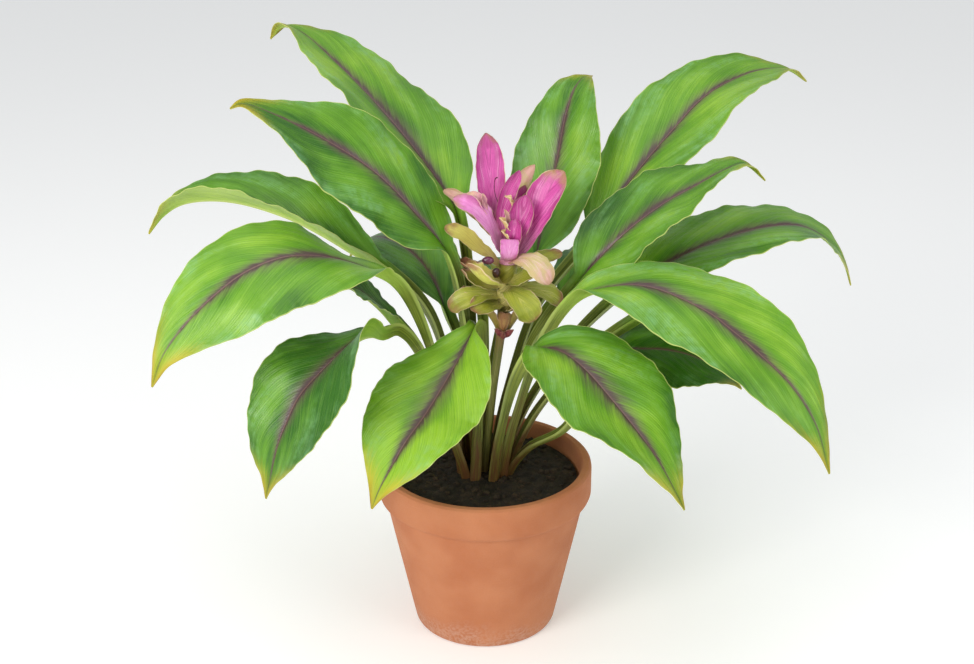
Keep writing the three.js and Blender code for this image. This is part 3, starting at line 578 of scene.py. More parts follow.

# Each leaf runs up its stem and out along its midrib, both as (reach from the clump's middle, height
# above the soil). heading is the compass angle of its foot, of its blade's base and of its tip, from
# +X towards +Y, and a third number in a stem point is that point's own. width is the widest of the
# left and right half, roll turns the blade about its midrib at base, middle and tip, fold lifts both
# halves and droop bends them down again. ripple is the wave of the margins: height, number and where
# it starts on the left and right. look is how yellow and light the green is, partly the leaf's own
# colour and partly painted light and shade for how the leaf lies in the light, and how wide the dark
# flame.
LEAVES = {
    "leaf_left_top": dict(
        heading=(150, 144, 144), stem=[(12, 0), (14, 90), (20, 190)],
        midrib=[
            (32, 268), (51, 299), (93, 339), (135, 372), (178, 401), (223, 427), (254, 433), (273, 418),
        ],
        width=(60, 66), roll=(-26, 7, 10), fold=14, droop=8, ripple=(3, 2.5, 0, 0.4), look=(0.66, 0.9),
    ),
    "leaf_left_upper": dict(
        heading=(205, 193, 193), stem=[(12, 0), (14, 80), (21, 160)],
        midrib=[(36, 239), (71, 291), (107, 331), (156, 367), (204, 394), (225, 402), (237, 398)],
        width=(51, 51), roll=(-47, -46, -26), fold=6, droop=12, ripple=(3, 2.5, 0.3, 0.8), look=(0.34, 0.85),
    ),
    "leaf_left_arching": dict(
        heading=(140, 165, 165), stem=[(24.5, 0), (34, 75, 150), (60, 165, 158)],
        midrib=[
            (102, 213), (138, 231), (170, 247), (205, 261), (250, 271), (287, 272), (320, 265),
            (343, 250), (361, 229),
        ],
        width=(50, 47), roll=(0, 0, 0), fold=38, droop=12, ripple=(2, 2, 0, 0.5), look=(0.55, 0.5),
    ),
    "leaf_left_broad": dict(
        heading=(190, 208, 208), stem=[(24.5, 0), (35, 75, 189), (54, 140, 192), (76, 196, 202)],
        midrib=[
            (98, 229), (124, 246), (152, 260), (182, 269), (212, 271), (245, 263), (275, 246), (303, 224),
            (326, 198), (339, 169),
        ],
        width=(57, 50), roll=(5, -34, -40), fold=3, droop=15, ripple=(3, 2.5, 0, 0.5), look=(0.58, 0.85),
    ),
    "leaf_left_low": dict(
        heading=(215, 213, 213), stem=[(24.5, 0), (42, 64, 202), (64, 135, 194), (89, 171, 202)],
        midrib=[
            (116, 180), (128, 185), (142, 184), (160, 175), (183, 159), (207, 139), (222, 115), (233, 91),
            (247, 42),
        ],
        width=(60, 51), roll=(32, -20, -14), fold=16, droop=6, ripple=(3, 2, 0.2, 0.6), look=(0.18, 0.95),
    ),
    "leaf_front_left": dict(
        heading=(243, 240, 240), stem=[(24.5, 0), (17, 60), (11, 120), (10, 153)],
        midrib=[(17, 170), (44, 153), (80, 131), (114, 113), (149, 99), (175, 83), (195, 69), (207, 56)],
        width=(56, 57), roll=(15, -7, -15), fold=13, droop=8, ripple=(3, 2, 0, 0.5), look=(0.84, 1.2),
    ),
    "leaf_front_right": dict(
        heading=(-66, -50, -50), stem=[(24.5, 0), (34, 60), (52, 118)],
        midrib=[
            (72, 158), (92, 170), (119, 173), (150, 164), (181, 148), (211, 131), (237, 114), (257, 95),
            (277, 73),
        ],
        width=(58, 66), roll=(11, 3, -18), fold=13, droop=8, ripple=(3, 2.5, 0, 0.5), look=(0.55, 1.2),
    ),
    "leaf_right_broad": dict(
        heading=(-41, -25, -25), stem=[(24.5, 0), (36, 65), (62, 150)],
        midrib=[
            (90, 203), (125, 225), (170, 233), (223, 219), (253, 202), (283, 181), (313, 156), (337, 122),
            (353, 76),
        ],
        width=(53, 52), roll=(5, 24, 30), fold=6, droop=12, ripple=(7, 2, 0.05, 0.1), look=(0.56, 0.95),
    ),
    "leaf_right_low": dict(
        heading=(-16, -10, -10), stem=[(24.5, 0), (46, 34), (84, 60)],
        midrib=[(118, 114), (140, 146), (160, 151), (185, 151), (212, 145), (236, 133), (256, 115)],
        width=(52, 58), roll=(10, 14, 14), fold=8, droop=14, ripple=(2, 2, 0, 0.5), look=(0.12, 0.3),
    ),
    "leaf_right_upper": dict(
        heading=(-15, 8, 8), stem=[(12, 0), (22, 75), (50, 148)],
        midrib=[
            (93, 205), (119, 236), (148, 263), (179, 285), (209, 301), (239, 316), (258, 320), (279, 303),
        ],
        width=(58, 57), roll=(36, 6, -10), fold=12, droop=9, ripple=(3, 2.5, 0, 0.5), look=(0.4, 0.95),
    ),
    "leaf_right_arching": dict(
        heading=(34, 16, 16), stem=[(24.5, 0), (46, 60), (90, 125)],
        midrib=[
            (142, 180), (194, 212), (248, 231), (300, 240), (341, 237), (374, 217), (394, 192),
            (405, 165),
        ],
        width=(60, 60), roll=(20, 0, 22), fold=9, droop=10, ripple=(3, 2.5, 0.1, 0.6), look=(0.52, 0.85),
    ),
    "leaf_right_top": dict(
        heading=(40, 36, 36), stem=[(12, 0), (30, 80), (66, 165)],
        midrib=[
            (131, 224), (156, 256), (182, 280), (211, 304), (243, 328), (275, 351), (310, 365),
            (358, 373), (405, 369), (439, 351),
        ],
        width=(58, 56), roll=(8, 8, 8), fold=14, droop=8, ripple=(3, 3, 0, 0.5), look=(0.56, 0.9),
    ),
    "leaf_back_centre": dict(
        heading=(95, 60, 60), stem=[(12, 0), (30, 75), (66, 150)],
        midrib=[
            (98, 196), (118, 235), (136, 270), (152, 305), (163, 333), (174, 352), (187, 366), (206, 373),
            (228, 371),
        ],
        width=(46, 52), roll=(0, 0, 0), fold=12, droop=8, ripple=(3, 2.5, 0.1, 0.5), look=(0.42, 0.95),
    ),
    "leaf_right_hidden": dict(
        heading=(9, -2, -2), stem=[(24.5, 0), (52, 66), (100, 128)],
        midrib=[(148, 170), (180, 186), (215, 192), (250, 185), (285, 162), (312, 130)],
        width=(48, 48), roll=(10, 0, 0), fold=10, droop=12, ripple=(2, 2, 0, 0.5), look=(0.2, 0.6),
    ),
    "leaf_left_hidden": dict(
        heading=(165, 192, 192), stem=[(24.5, 0), (41, 70, 175), (66, 138, 187)],
        midrib=[(88, 173), (106, 195), (126, 212), (150, 224), (178, 228), (204, 220)],
        width=(38, 40), roll=(0, 0, 0), fold=14, droop=8, ripple=(2, 2, 0, 0.5), look=(0.18, 0.5),
    ),
    "leaf_back_left": dict(
        heading=(115, 132, 130), stem=[(24.5, 0), (36, 72), (48, 130)],
        midrib=[(58, 158), (76, 188), (104, 208), (146, 216), (192, 206), (232, 174)],
        width=(38, 50), roll=(0, 0, 0), fold=10, droop=12, ripple=(3, 2, 0, 0.5), look=(0.22, 0.8),
    ),
    "leaf_back": dict(
        heading=(88, 92, 94), stem=[(24.5, 0), (40, 60), (68, 112)],
        midrib=[(100, 148), (136, 166), (178, 168), (218, 148), (250, 112)],
        width=(48, 48), roll=(0, 0, 0), fold=10, droop=12, ripple=(2, 2, 0, 0.5), look=(0.45, 0.8),
    ),
    "leaf_back_right": dict(
        heading=(60, 44, 40), stem=[(24.5, 0), (40, 65), (72, 125)],
        midrib=[(108, 165), (146, 186), (188, 190), (230, 174), (268, 142), (294, 104)],
        width=(52, 52), roll=(0, 0, 0), fold=10, droop=12, ripple=(3, 2, 0, 0.5), look=(0.5, 0.8),
    ),
}


def bract_table(*rows):
    """Each row is the compass angle that a bract's outer side looks to, its widest half, how far its
    halves fold up and how far it rolls about its midrib, in degrees, how far it has turned to the
    other colour, or below 0 how pale it is, how brown its tip is, its midrib as (x, y, height above
    the soil) and, on one bract, its own outline."""
    names = ("faces", "width", "fold", "roll", "turned", "browned", "midrib", "outline")
    return [dict(zip(names, row)) for row in rows]


# Small parts of the flower head that stand for no solid
FLORETS = bract_table(
    (200, 4.2, 40, -20, 0.0, -0.3, [(24, -14, 262), (19, -22, 277), (14, -25, 285)]),
    (210, 4.0, 35, -30, 0.0, 0.0, [(25, -16, 257), (20, -25, 267), (16, -28, 273)]),
    (120, 3.4, 40, 0, 0.7, 0.0, [(24, -12, 264), (21, -18, 282), (19, -20, 291)]),
    (150, 3.0, 30, 10, 0.2, 0.0, [(27, -12, 292), (24, -14, 300), (19, -14, 303)]),
    (170, 4.6, 40, -30, 0.9, -0.3, [(4, -14, 282), (-4, -16, 296), (-9, -17, 304), (-17, -17, 306)]),
    (120, 3.6, 45, 0, 0.9, -0.2, [(2, -12, 284), (-1, -14, 296), (-2, -16, 306)]),
)
SHEATHS = bract_table(
    (215, 10, 36, -15, 0.85, 0.1, [(15, -8, 156), (10, -13, 170), (3, -17, 183), (-5, -19, 193)]),
    (270, 9, 36, 0, -0.6, 0.1, [(17, -10, 155), (18, -17, 167), (19, -22, 178), (20, -27, 188)]),
    (320, 11, 36, 15, 0.9, 0.1, [(19, -8, 156), (27, -12, 170), (35, -14, 183), (43, -14, 195)]),
    (240, 4.8, 45, 0, 0.0, 0.0, [(16, -10, 157), (13, -18, 162), (10, -21, 169)]),
    (270, 5.2, 45, 0, 0.0, 0.0, [(18, -10, 154), (18, -19, 159), (18, -23, 166)]),
    (305, 4.8, 45, 0, 0.0, 0.0, [(19, -10, 156), (24, -18, 161), (28, -20, 168)]),
)

# The lines of the thread in the flower and of the spike, as (x, y, height above the soil)
STYLE = [(20, 2, 270), (15, 0, 286), (10, -2, 300), (9, -3, 311), (10, -4, 317), (12, -5, 318.5)]
SPIKE = [
    (0, 0, -28), (0, 0, 8), (7, -3, 90), (16, -5, 160), (20, -5, 200), (23, -4, 232), (26, -3, 262),
]

# The bracts on the spike. The last four green ones and the last two pink ones are on its far side.
GREEN_BRACTS = bract_table(
    (190, 11, 15, -35, -1.0, 0.25, [(15, -6, 229), (4, -12, 242), (-9, -14, 253), (-24, -12, 264),
     (-39, -8, 270)]),
    (10, 9, 15, 30, 0.05, 0.45, [(26, -4, 227), (46, 4, 231), (61, 8, 233), (76, 10, 237)]),
    (230, 18, 32, -28, -0.85, 0.35, [(18, -10, 214), (7, -30, 222), (-5, -42, 230), (-18, -46, 246)]),
    (205, 11, 25, -30, 0.25, 0.5, [(14, -6, 208), (-3, -18, 214), (-15, -22, 222), (-23, -20, 231)]),
    (180, 9, 35, -20, 0.7, 1.7, [(14, 0, 215), (-6, -2, 222), (-18, -3, 228), (-26, -3, 234)]),
    (190, 8, 10, -10, 0.05, 0.5, [(14, -4, 200), (-6, -12, 205), (-17, -16, 207), (-25, -17, 208)]),
    (205, 12, 15, -32, 0.12, 0.35, [(16, -8, 198), (1, -18, 204), (-13, -26, 204), (-26, -28, 199),
     (-35, -26, 192)]),
    (235, 12, 10, -30, 0.2, 0.35, [(18, -8, 191), (7, -22, 196), (-3, -32, 198), (-14, -37, 196)]),
    (300, 15, 8, 8, 0.0, 0.15, [(19, -8, 204), (25, -26, 211), (33, -39, 208), (41, -46, 200),
     (48, -44, 187)]),
    (345, 11, 15, 28, 0.0, 0.4, [(22, -4, 200), (37, -8, 206), (51, -10, 206), (66, -12, 200),
     (76, -10, 190)]),
    (320, 13, 15, 28, 0.1, 0.6, [(21, -8, 214), (32, -24, 221), (44, -32, 228), (53, -34, 234)]),
    (325, 10, 20, 10, 0.3, 1.1, [(20, -6, 184), (27, -16, 187), (35, -20, 194)]),
    (60, 13, 20, 0, 0.1, 0.3, [(22, -2, 203), (36, 22, 210), (48, 36, 206)]),
    (100, 13, 20, 0, 0.1, 0.3, [(20, -2, 208), (16, 26, 216), (12, 44, 214)]),
    (115, 11, 20, 0, 0.1, 0.3, [(18, -4, 198), (6, 20, 203), (0, 36, 199)]),
    (65, 13, 20, 0, 0.1, 0.3, [(20, -4, 190), (30, 20, 190), (38, 34, 182)]),
)
PINK_BRACTS = bract_table(
    (100, 15, 20, 0, -0.2, 0.0, [(20, -3, 244), (8, 2, 279), (5, 6, 315), (3, 8, 341), (1, 6, 359)]),
    (60, 9, 20, 0, 0.85, 0.05, [(25, 0, 248), (28, 10, 286), (38, 14, 308), (48, 16, 325)]),
    (80, 7, 20, 0, 0.0, 0.0, [(24, 0, 252), (31, 6, 284), (39, 8, 307)]),
    (100, 9, 28, 0, 0.0, -0.2, [(22, -6, 248), (16, -8, 280), (23, -5, 306), (33, -3, 325)]),
    (60, 18, 15, 0, 0.0, 0.3, [(28, -6, 238), (40, -8, 258), (51, -6, 285), (62, -2, 305), (76, 0, 323)]),
    (80, 13, 25, 0, 0.0, -0.2, [(26, -8, 240), (31, -13, 266), (36, -11, 286), (39, -12, 303)]),
    (85, 9, 30, 0, 0.0, -0.2, [(24, -8, 240), (27, -20, 262), (29, -19, 282)]),
    (200, 13, 10, -45, -0.85, 0.2, [(20, -8, 238), (10, -17, 262), (2, -20, 280), (-11, -21, 295),
     (-30, -18, 302)]),
    (180, 10, 15, -30, 0.85, 0.15, [(20, -2, 246), (-5, 0, 275), (-22, 4, 291), (-40, 8, 302)]),
    (170, 9, 20, -20, 0.0, 0.1, [(20, -5, 250), (1, -6, 281), (-13, -5, 299)]),
    (320, 13, -5, 22, 0.9, 0.1, [(24, -8, 236), (36, -26, 245), (46, -36, 245), (55, -43, 238),
     (62, -46, 225)]),
    (270, 9, 8, 0, -0.9, -0.3, [(22, -6, 236), (23, -22, 244), (24, -25, 263)], SQUARISH_OUTLINE),
    (40, 12, 20, 0, 0.1, 0.3, [(26, 0, 240), (36, 20, 268), (46, 28, 292)]),
    (120, 12, 20, 0, 0.1, 0.3, [(22, 0, 240), (10, 20, 270), (2, 30, 300)]),
)


def mix(a, b, share):
    return a + (b - a) * share


def smooth(x):
    x = np.clip(x, 0, 1)
    return x * x * (3 - 2 * x)


def waves(number, along, shift=0.0):
    """A sine with this number of waves from along 0 to along 1."""
    return np.sin(2 * np.pi * number * along + shift)


def through(pairs, x):
    """The value at x of a smooth line through (x, value) pairs."""
    xs, ys = np.array(pairs, float).T
    slope = np.empty(len(xs))
    slope[1:-1] = (ys[2:] - ys[:-2]) / (xs[2:] - xs[:-2])
    slope[0] = (ys[1] - ys[0]) / (xs[1] - xs[0])
    slope[-1] = (ys[-1] - ys[-2]) / (xs[-1] - xs[-2])
    i = np.clip(np.searchsorted(xs, x, side="right") - 1, 0, len(xs) - 2)
    span = xs[i + 1] - xs[i]
    t = (x - xs[i]) / span
    return (
        ys[i] * (2 * t**3 - 3 * t**2 + 1)
        + slope[i] * span * (t**3 - 2 * t**2 + t)
        + ys[i + 1] * (3 * t**2 - 2 * t**3)
        + slope[i + 1] * span * (t**3 - t**2)
    )


def smooth_line(points, steps=LINE_STEPS):
    """A smooth line through the points, with steps short pieces between each two of them."""
    points = np.asarray(points, float)
    padded = np.vstack([2 * points[0] - points[1], points, 2 * points[-1] - points[-2]])
    line = []
    for before, start, end, after in zip(padded, padded[1:], padded[2:], padded[3:]):
        t = np.linspace(0, 1, steps, endpoint=False)[:, None]
        leave, arrive = (end - before) / 2, (after - start) / 2
        cubic = (2 * start - 2 * end + leave + arrive) * t**3
        line.append(cubic + (-3 * start + 3 * end - 2 * leave - arrive) * t**2 + leave * t + start)
    return np.vstack([*line, points[-1:]])


def lengths_along(line):
    """How far along the line each of its points lies."""
    steps = np.linalg.norm(np.diff(line, axis=0), axis=1)
    return np.concatenate([[0], np.cumsum(steps)])


def unit(vectors):
    return vectors / np.linalg.norm(vectors, axis=-1, keepdims=True)


def frames_along(line, lengths, out=None):
    """The places after these lengths, with the level line to the left and the way up at each."""
    reached = lengths_along(line)

    def at(length):
        return np.stack([np.interp(length, reached, line[:, k]) for k in range(3)], 1)

    here = at(lengths)
    along = unit(at(lengths + 1) - at(lengths - 1))
    outward = here if out is None else np.broadcast_to(out, here.shape)
    left = unit(np.stack([-outward[:, 1], outward[:, 0], 0 * lengths], 1))
    left = unit(left - (left * along).sum(1, keepdims=True) * along)
    return here, left, np.cross(along, left)


def turned_about(here, left, up, turn):
    """The frames, turned about their line by turn radians."""
    cos, sin = np.cos(turn), np.sin(turn)
    return here, left * cos + up * sin, up * cos - left * sin


def polar(reach, heading, height):
    angle = math.radians(heading)
    return (reach * math.cos(angle), reach * math.sin(angle), height)


def shade_smoothly(piece, sharpest=180):
    """Smooth shading, but for edges that turn by more than sharpest degrees."""
    bpy.ops.object.select_all(action="DESELECT")
    piece.select_set(True)
    if sharpest < 180:
        bpy.ops.object.shade_smooth_by_angle(angle=math.radians(sharpest))
    else:
        bpy.ops.object.shade_smooth()
    piece.select_set(False)


def sleeve(name, points, along, across, upper_columns, materials, traits):
    """A closed piece from rows of points that each run once round it: a grid whose points are put in
    place, then its seam is merged and its two ends are filled. points holds rows x columns x 3
    millimetres, along and across each point's place on the blade, from -1 to 1."""
    rows, columns = points.shape[0] - 1, points.shape[1] - 1
    bpy.ops.mesh.primitive_grid_add(x_subdivisions=columns, y_subdivisions=rows, size=1)
    piece = bpy.context.object
    piece.name = piece.data.name = name
    mesh = piece.data
    mesh.vertices.foreach_set("co", (points * MM).astype(np.float32).ravel())
    corners = np.empty(len(mesh.loops), np.int32)
    mesh.loops.foreach_get("vertex_index", corners)
    mesh.uv_layers[0].name = "blade"
    places = np.stack([(across + 1) / 2, (along + 1) / 2], -1).reshape(-1, 2)
    mesh.uv_layers[0].data.foreach_set("uv", places[corners].astype(np.float32).ravel())
    marks = mesh.attributes.new("traits", "FLOAT_VECTOR", "POINT")
    marks.data.foreach_set("vector", np.tile(np.float32(traits), (len(mesh.vertices), 1)).ravel())
    for material in materials:
        mesh.materials.append(material)
    if len(materials) > 1:
        column = np.arange(len(mesh.polygons)) % columns
        mesh.polygons.foreach_set("material_index", (column >= upper_columns).astype(np.int32))
    bpy.ops.object.mode_set(mode="EDIT")
    bpy.ops.mesh.select_all(action="SELECT")
    bpy.ops.mesh.remove_doubles(threshold=1e-6)
    bpy.ops.mesh.select_all(action="DESELECT")
    bpy.ops.mesh.select_non_manifold()
    bpy.ops.mesh.fill_holes(sides=0)
    bpy.ops.mesh.select_all(action="SELECT")
    bpy.ops.mesh.normals_make_consistent(inside=False)
    bpy.ops.object.mode_set(mode="OBJECT")
    shade_smoothly(piece, 50)
    return piece


def blade_sleeve(name, frames, sideways, lift, depth, along, across, materials, traits):
    """A closed blade. Each row's points lie sideways from its frame, in an upper sheet that is lifted
    off it and in a lower sheet that lies depth below the upper one."""
    here, left, up = frames
    spread = here[:, None] + left[:, None] * sideways[..., None]
    top, under = (spread + up[:, None] * heights[..., None] for heights in (lift, lift - depth))
    points = np.concatenate([top, under[:, ::-1], top[:, :1]], axis=1) + (0, 0, SOIL_LEVEL)
    across = np.broadcast_to(np.concatenate([across, across[::-1], across[:1]]), points.shape[:2])
    along = np.broadcast_to(along, points.shape[:2])
    return sleeve(name, points, along, across, top.shape[1] - 1, materials, traits)


def finish_piece(piece, slot, *nodes):
    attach(piece, "root")
    if nodes:
        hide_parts(*nodes)


def join_pieces(name, pieces):
    bpy.ops.object.select_all(action="DESELECT")
    for piece in pieces:
        piece.select_set(True)
    bpy.context.view_layer.objects.active = pieces[0]
    bpy.ops.object.join()
    joined = bpy.context.object
    joined.name = joined.data.name = name
    joined.select_set(False)
    return joined


def leaf_line(leaf):
    """The line up a leaf's stem and out along its midrib, and the lengths of the two."""
    foot, base, tip = leaf["heading"]
    stem, midrib = leaf["stem"], leaf["midrib"]
    places = [polar(stem[0][0], foot, -ROOT_DEPTH)]
    for k, (reach, height, *own) in enumerate(stem):
        places.append(polar(reach, own[0] if own else mix(foot, base, k / len(stem)), height))
    first_of_blade = len(places)
    for k, (reach, height) in enumerate(midrib):
        places.append(polar(reach, mix(base, tip, (k / (len(midrib) - 1)) ** 2), height))
    line = smooth_line(places)
    reached = lengths_along(line)
    stem_length = reached[first_of_blade * LINE_STEPS]
    return line, stem_length, reached[-1] - stem_length


def leaf_roll(roll, v, blade):
    """How far each row is turned about the midrib, in radians, growing up the stalk to the first."""
    first, middle, last = roll
    turn = np.where(
        blade < 0.5,
        mix(first, middle, smooth(blade / 0.5)),
        mix(middle, last, smooth((blade - 0.5) / 0.5)),
    )
    return np.radians(np.where(v < 0, turn * smooth(1 + v), turn))[:, None]


def leaf_half_widths(leaf, v, blade, on_left):
    """The half width of each row, left and right: the blade's outline, or the stalk where that is
    wider."""
    winged = PETIOLE_HALF_WIDTH * (1 + WING * smooth((v + WING_LENGTH) / WING_LENGTH))
    winged = winged * (1 + FOOT_SWELL * smooth((-0.35 - v) / 0.45))
    narrow = np.where(v > 0, mix(PETIOLE_HALF_WIDTH * (1 + WING), 0.4, blade), winged)
    left, right = (np.maximum(through(LEAF_OUTLINE, blade) * w, narrow) for w in leaf["width"])
    return np.where(on_left, left, right)


def leaf_waves(leaf, blade, side, sign, seed):
    """The waves of the margins, and finer than the solid's: small waves of the margin, pleats
    between the veins and soft bulges."""
    chance = random.Random(seed)
    late = [chance.uniform(0, 2 * math.pi) for _ in range(6)]
    height, number, start_left, start_right = leaf["ripple"]
    start = np.where(sign > 0, start_left, start_right)
    swell = np.sin(np.pi * blade) ** 0.7
    wave = height * side**2 * np.sin(2 * np.pi * (number * blade + start)) * swell
    frill = 1.2 * side**4 * waves(6.5, blade, late[0] + late[1] * sign) * swell
    frill = frill + 0.7 * side**6 * waves(15, blade, late[2] * sign) * swell
    root = blade - VEIN_SWEEP * side**VEIN_CURVE
    pleat = 0.16 * waves(30, root, late[3]) + 0.22 * waves(13, root, late[4])
    pleat = pleat * smooth(side / 0.2) * smooth((1 - side) / 0.1) * swell
    bulge = 0.9 * waves(3.1, blade, late[5]) * np.sin(np.pi * side) * swell
    return wave + frill + pleat + bulge


def make_leaf(name, leaf, materials, seed):
    line, stem_length, blade_length = leaf_line(leaf)
    on_stem = np.linspace(-1, 0, PETIOLE_ROWS, endpoint=False)
    v = np.concatenate([on_stem, np.linspace(0, 1, BLADE_ROWS + 1)])
    lengths = np.where(v < 0, (v + 1) * stem_length, stem_length + v * blade_length)
    blade = np.clip(v, 0, 1)
    turn = leaf_roll(leaf["roll"], v, blade)
    frames = turned_about(*frames_along(line, lengths), turn)

    share = np.linspace(1, -1, LEAF_COLUMNS + 1)
    share = np.sign(share) * np.abs(share) ** COLUMN_CROWDING
    v, blade = v[:, None], blade[:, None]
    side, sign = np.abs(share)[None, :], np.sign(share)[None, :]
    half = leaf_half_widths(leaf, v, blade, sign > 0)
    opened = smooth(blade / 0.18)
    channel = mix(PETIOLE_FOLD, WING_FOLD, smooth((v + WING_LENGTH) / 0.3) * (1 - opened))
    angle = np.radians(mix(channel, leaf["fold"], opened) - leaf["droop"] * opened * side / 2)
    groove = -mix(*RIB_GROOVE, blade) * np.exp(-((half * side / 1.3) ** 2))
    groove = groove * smooth((v + 0.3) / 0.3)
    ripples = np.where(v > 0, leaf_waves(leaf, blade, side, sign, seed), 0)
    lift = half * side * np.sin(angle) + ripples + groove
    sideways = sign * half * side * np.cos(angle)

    stalk_depth = 1 + PETIOLE_THICKNESS * np.sqrt(np.maximum(1 - side**2, 0))
    rib_edge = np.exp(-((half * side / mix(*RIB_HALF_WIDTH, blade)) ** 2))
    rib_depth = mix(*RIB_THICKNESS, blade**0.6) * rib_edge
    depth = mix(stalk_depth, BLADE_THICKNESS + rib_depth, smooth(blade / 0.12))

    piece = blade_sleeve(
        name.split("_", 1)[1] + "_leaf", frames, sideways, lift, depth, v, share,
        materials, (*leaf["look"], seed),
    )
    finish_piece(piece, "leaf", name)


def make_bract(name, bract, material, seed):
    chance = random.Random(seed)
    late = [chance.uniform(0, 2 * math.pi) for _ in range(4)]
    line = smooth_line(bract["midrib"])
    v = np.linspace(0, 1, BRACT_ROWS + 1)
    frames = frames_along(line, v * lengths_along(line)[-1], out=polar(1, bract["faces"], 0))
    frames = turned_about(*frames, math.radians(bract["roll"]))
    share = np.linspace(1, -1, BRACT_COLUMNS + 1)
    v, side, sign = v[:, None], np.abs(share)[None, :], np.sign(share)[None, :]
    half = through(bract.get("outline", BRACT_OUTLINE), v) * bract["width"]
    if "outline" not in bract:
        half = half * np.where(v > 0.97, np.sqrt(np.clip((1 - v) / 0.03, 0.02, 1)) * 0.4 + 0.6, 1)
    ragged = waves(5.3, v, late[1] + sign) + 0.6 * waves(11, v, late[3])
    half = half * (1 + 0.022 * ragged * smooth(v / 0.4))
    angle = np.radians(bract["fold"]) * side
    frill = 0.8 * side**3 * waves(2.7, v, late[0] + late[1] * sign)
    frill = frill + 0.4 * side**5 * waves(7, v, late[2])
    frill = frill + 0.3 * np.sin(np.pi * side) * np.sin(5 * v + late[3])
    groove = -0.35 * np.exp(-((half * side / 0.9) ** 2))
    pleat = 0.08 * np.cos(side * 26)
    lift = half * side * np.sin(angle) + (frill + pleat) * smooth(v / 0.3) + groove
    sideways = sign * half * side * np.cos(angle)
    depth = BRACT_THICKNESS * mix(1.4, 0.8, v) * (1 - 0.45 * side**2)
    traits = (bract["turned"], bract["browned"], seed)
    return blade_sleeve(name, frames, sideways, lift, depth, v, share, [material], traits)


# Pot and soil
POT_SIDES = 120
DRAIN_HOLES = 3
DRAIN_REACH = 42
DRAIN_RADIUS = 7
DRAIN_DEPTH = 30

# The pot's turned outline, as (radius, height): up its outside, over the rim and down its inside.
POT_RINGS = [
    (71, 0), (73, 0.8), (74, 2.6), (76.5, 14), (96.6, 110), (102.4, 138.5), (102.9, 141.5),
    (103.4, 142.4), (107, 144.2), (109, 145.8), (110, 148.5), (110, 162), (110, 174), (109.4, 177.6),
    (107.4, 179.6), (104.8, 180), (101.4, 179.4), (99.8, 177.4), (99.2, 174), (98.6, 166),
    (95.6, 142), (93.2, 130), (80, 60), (70, 12.5), (67.5, 10.4), (62, 10),
]


def drill_drain_hole(pot, x, y):
    bpy.ops.mesh.primitive_cylinder_add(
        vertices=32, radius=DRAIN_RADIUS * MM, depth=DRAIN_DEPTH * MM, location=(x * MM, y * MM, 0)
    )
    drill = bpy.context.object
    bpy.context.view_layer.objects.active = pot
    cut = pot.modifiers.new("drain_hole", "BOOLEAN")
    cut.object, cut.solver = drill, "EXACT"
    bpy.ops.object.modifier_apply(modifier=cut.name)
    bpy.data.objects.remove(drill)


def make_pot(clay):
    """Turned from a disc: each ring is extruded from the last one's edge and sized."""
    radius, height = POT_RINGS[0]
    bpy.ops.mesh.primitive_circle_add(
        vertices=POT_SIDES, radius=radius * MM, fill_type="NGON", location=(0, 0, 0)
    )
    pot = bpy.context.object
    pot.name = pot.data.name = "clay_pot"
    bpy.ops.object.mode_set(mode="EDIT")
    bpy.ops.mesh.select_all(action="SELECT")
    bpy.ops.mesh.select_mode(type="EDGE")
    for next_radius, next_height in POT_RINGS[1:]:
        rise = (0, 0, (next_height - height) * MM)
        bpy.ops.mesh.extrude_edges_move(TRANSFORM_OT_translate={"value": rise})
        grow = next_radius / radius
        bpy.ops.transform.resize(value=(grow, grow, 1), center_override=(0, 0, next_height * MM))
        radius, height = next_radius, next_height
    bpy.ops.mesh.edge_face_add()
    bpy.ops.mesh.select_all(action="SELECT")
    bpy.ops.mesh.normals_make_consistent(inside=False)
    bpy.ops.object.mode_set(mode="OBJECT")
    for k in range(DRAIN_HOLES):
        x, y, _ = polar(DRAIN_REACH, 90 + 360 / DRAIN_HOLES * k, 0)
        drill_drain_hole(pot, x, y)
    shade_smoothly(pot, 32)
    pot.data.materials.append(clay)
    finish_piece(pot, "clay", "pot")


SOIL_RINGS = 70
SOIL_COLUMNS = 168
SOIL_RADIUS = 94.8
SOIL_SIDE = [(95.6, 158), (92.6, 142), (79, 60), (68, 11.5), (40, 10.6), (0, 10.6)]
MOUND_RISE = 2.2
MOUND_FALL = 5.2
MOUND_RADIUS = 96
CLOD_EDGE = 97
CLOD_FADE = 8
CRUMB_COUNT = 420
CRUMB_REACH = 93
CRUMB_SIZES = (0.9, 1.1, 1.4, 1.9, 2.6, 3.6)


def soil_height(x, y):
    """The soil's surface: a low mound with clods and crumbs, a little lower at the pot's wall."""
    reach = math.hypot(x, y)
    mound = SOIL_LEVEL + MOUND_RISE - MOUND_FALL * (reach / MOUND_RADIUS) ** 2
    place = Vector((x, y, 0))
    clods = 2.6 * noise.fractal(place / 21, 0.9, 2.1, 3) + 1.5 * abs(noise.noise(place / 7.5))
    clods = clods + 0.7 * noise.noise(place / 2.6)
    return mound + clods * min(1.0, (CLOD_EDGE - reach) / CLOD_FADE)


def make_soil(material):
    rings = [(SOIL_RADIUS * (k / SOIL_RINGS) ** 0.8, None) for k in range(SOIL_RINGS + 1)]
    rings += SOIL_SIDE
    points = np.zeros((len(rings), SOIL_COLUMNS + 1, 3))
    for i, (radius, height) in enumerate(rings):
        for j in range(SOIL_COLUMNS + 1):
            x, y, _ = polar(radius, -360 * (j % SOIL_COLUMNS) / SOIL_COLUMNS, 0)
            points[i, j] = (x, y, soil_height(x, y) if height is None else height)
    flat = np.zeros(points.shape[:2])
    soil = sleeve("potting_soil", points, flat, flat, 0, [material], (0, 0, 0))
    finish_piece(soil, "soil", "soil")


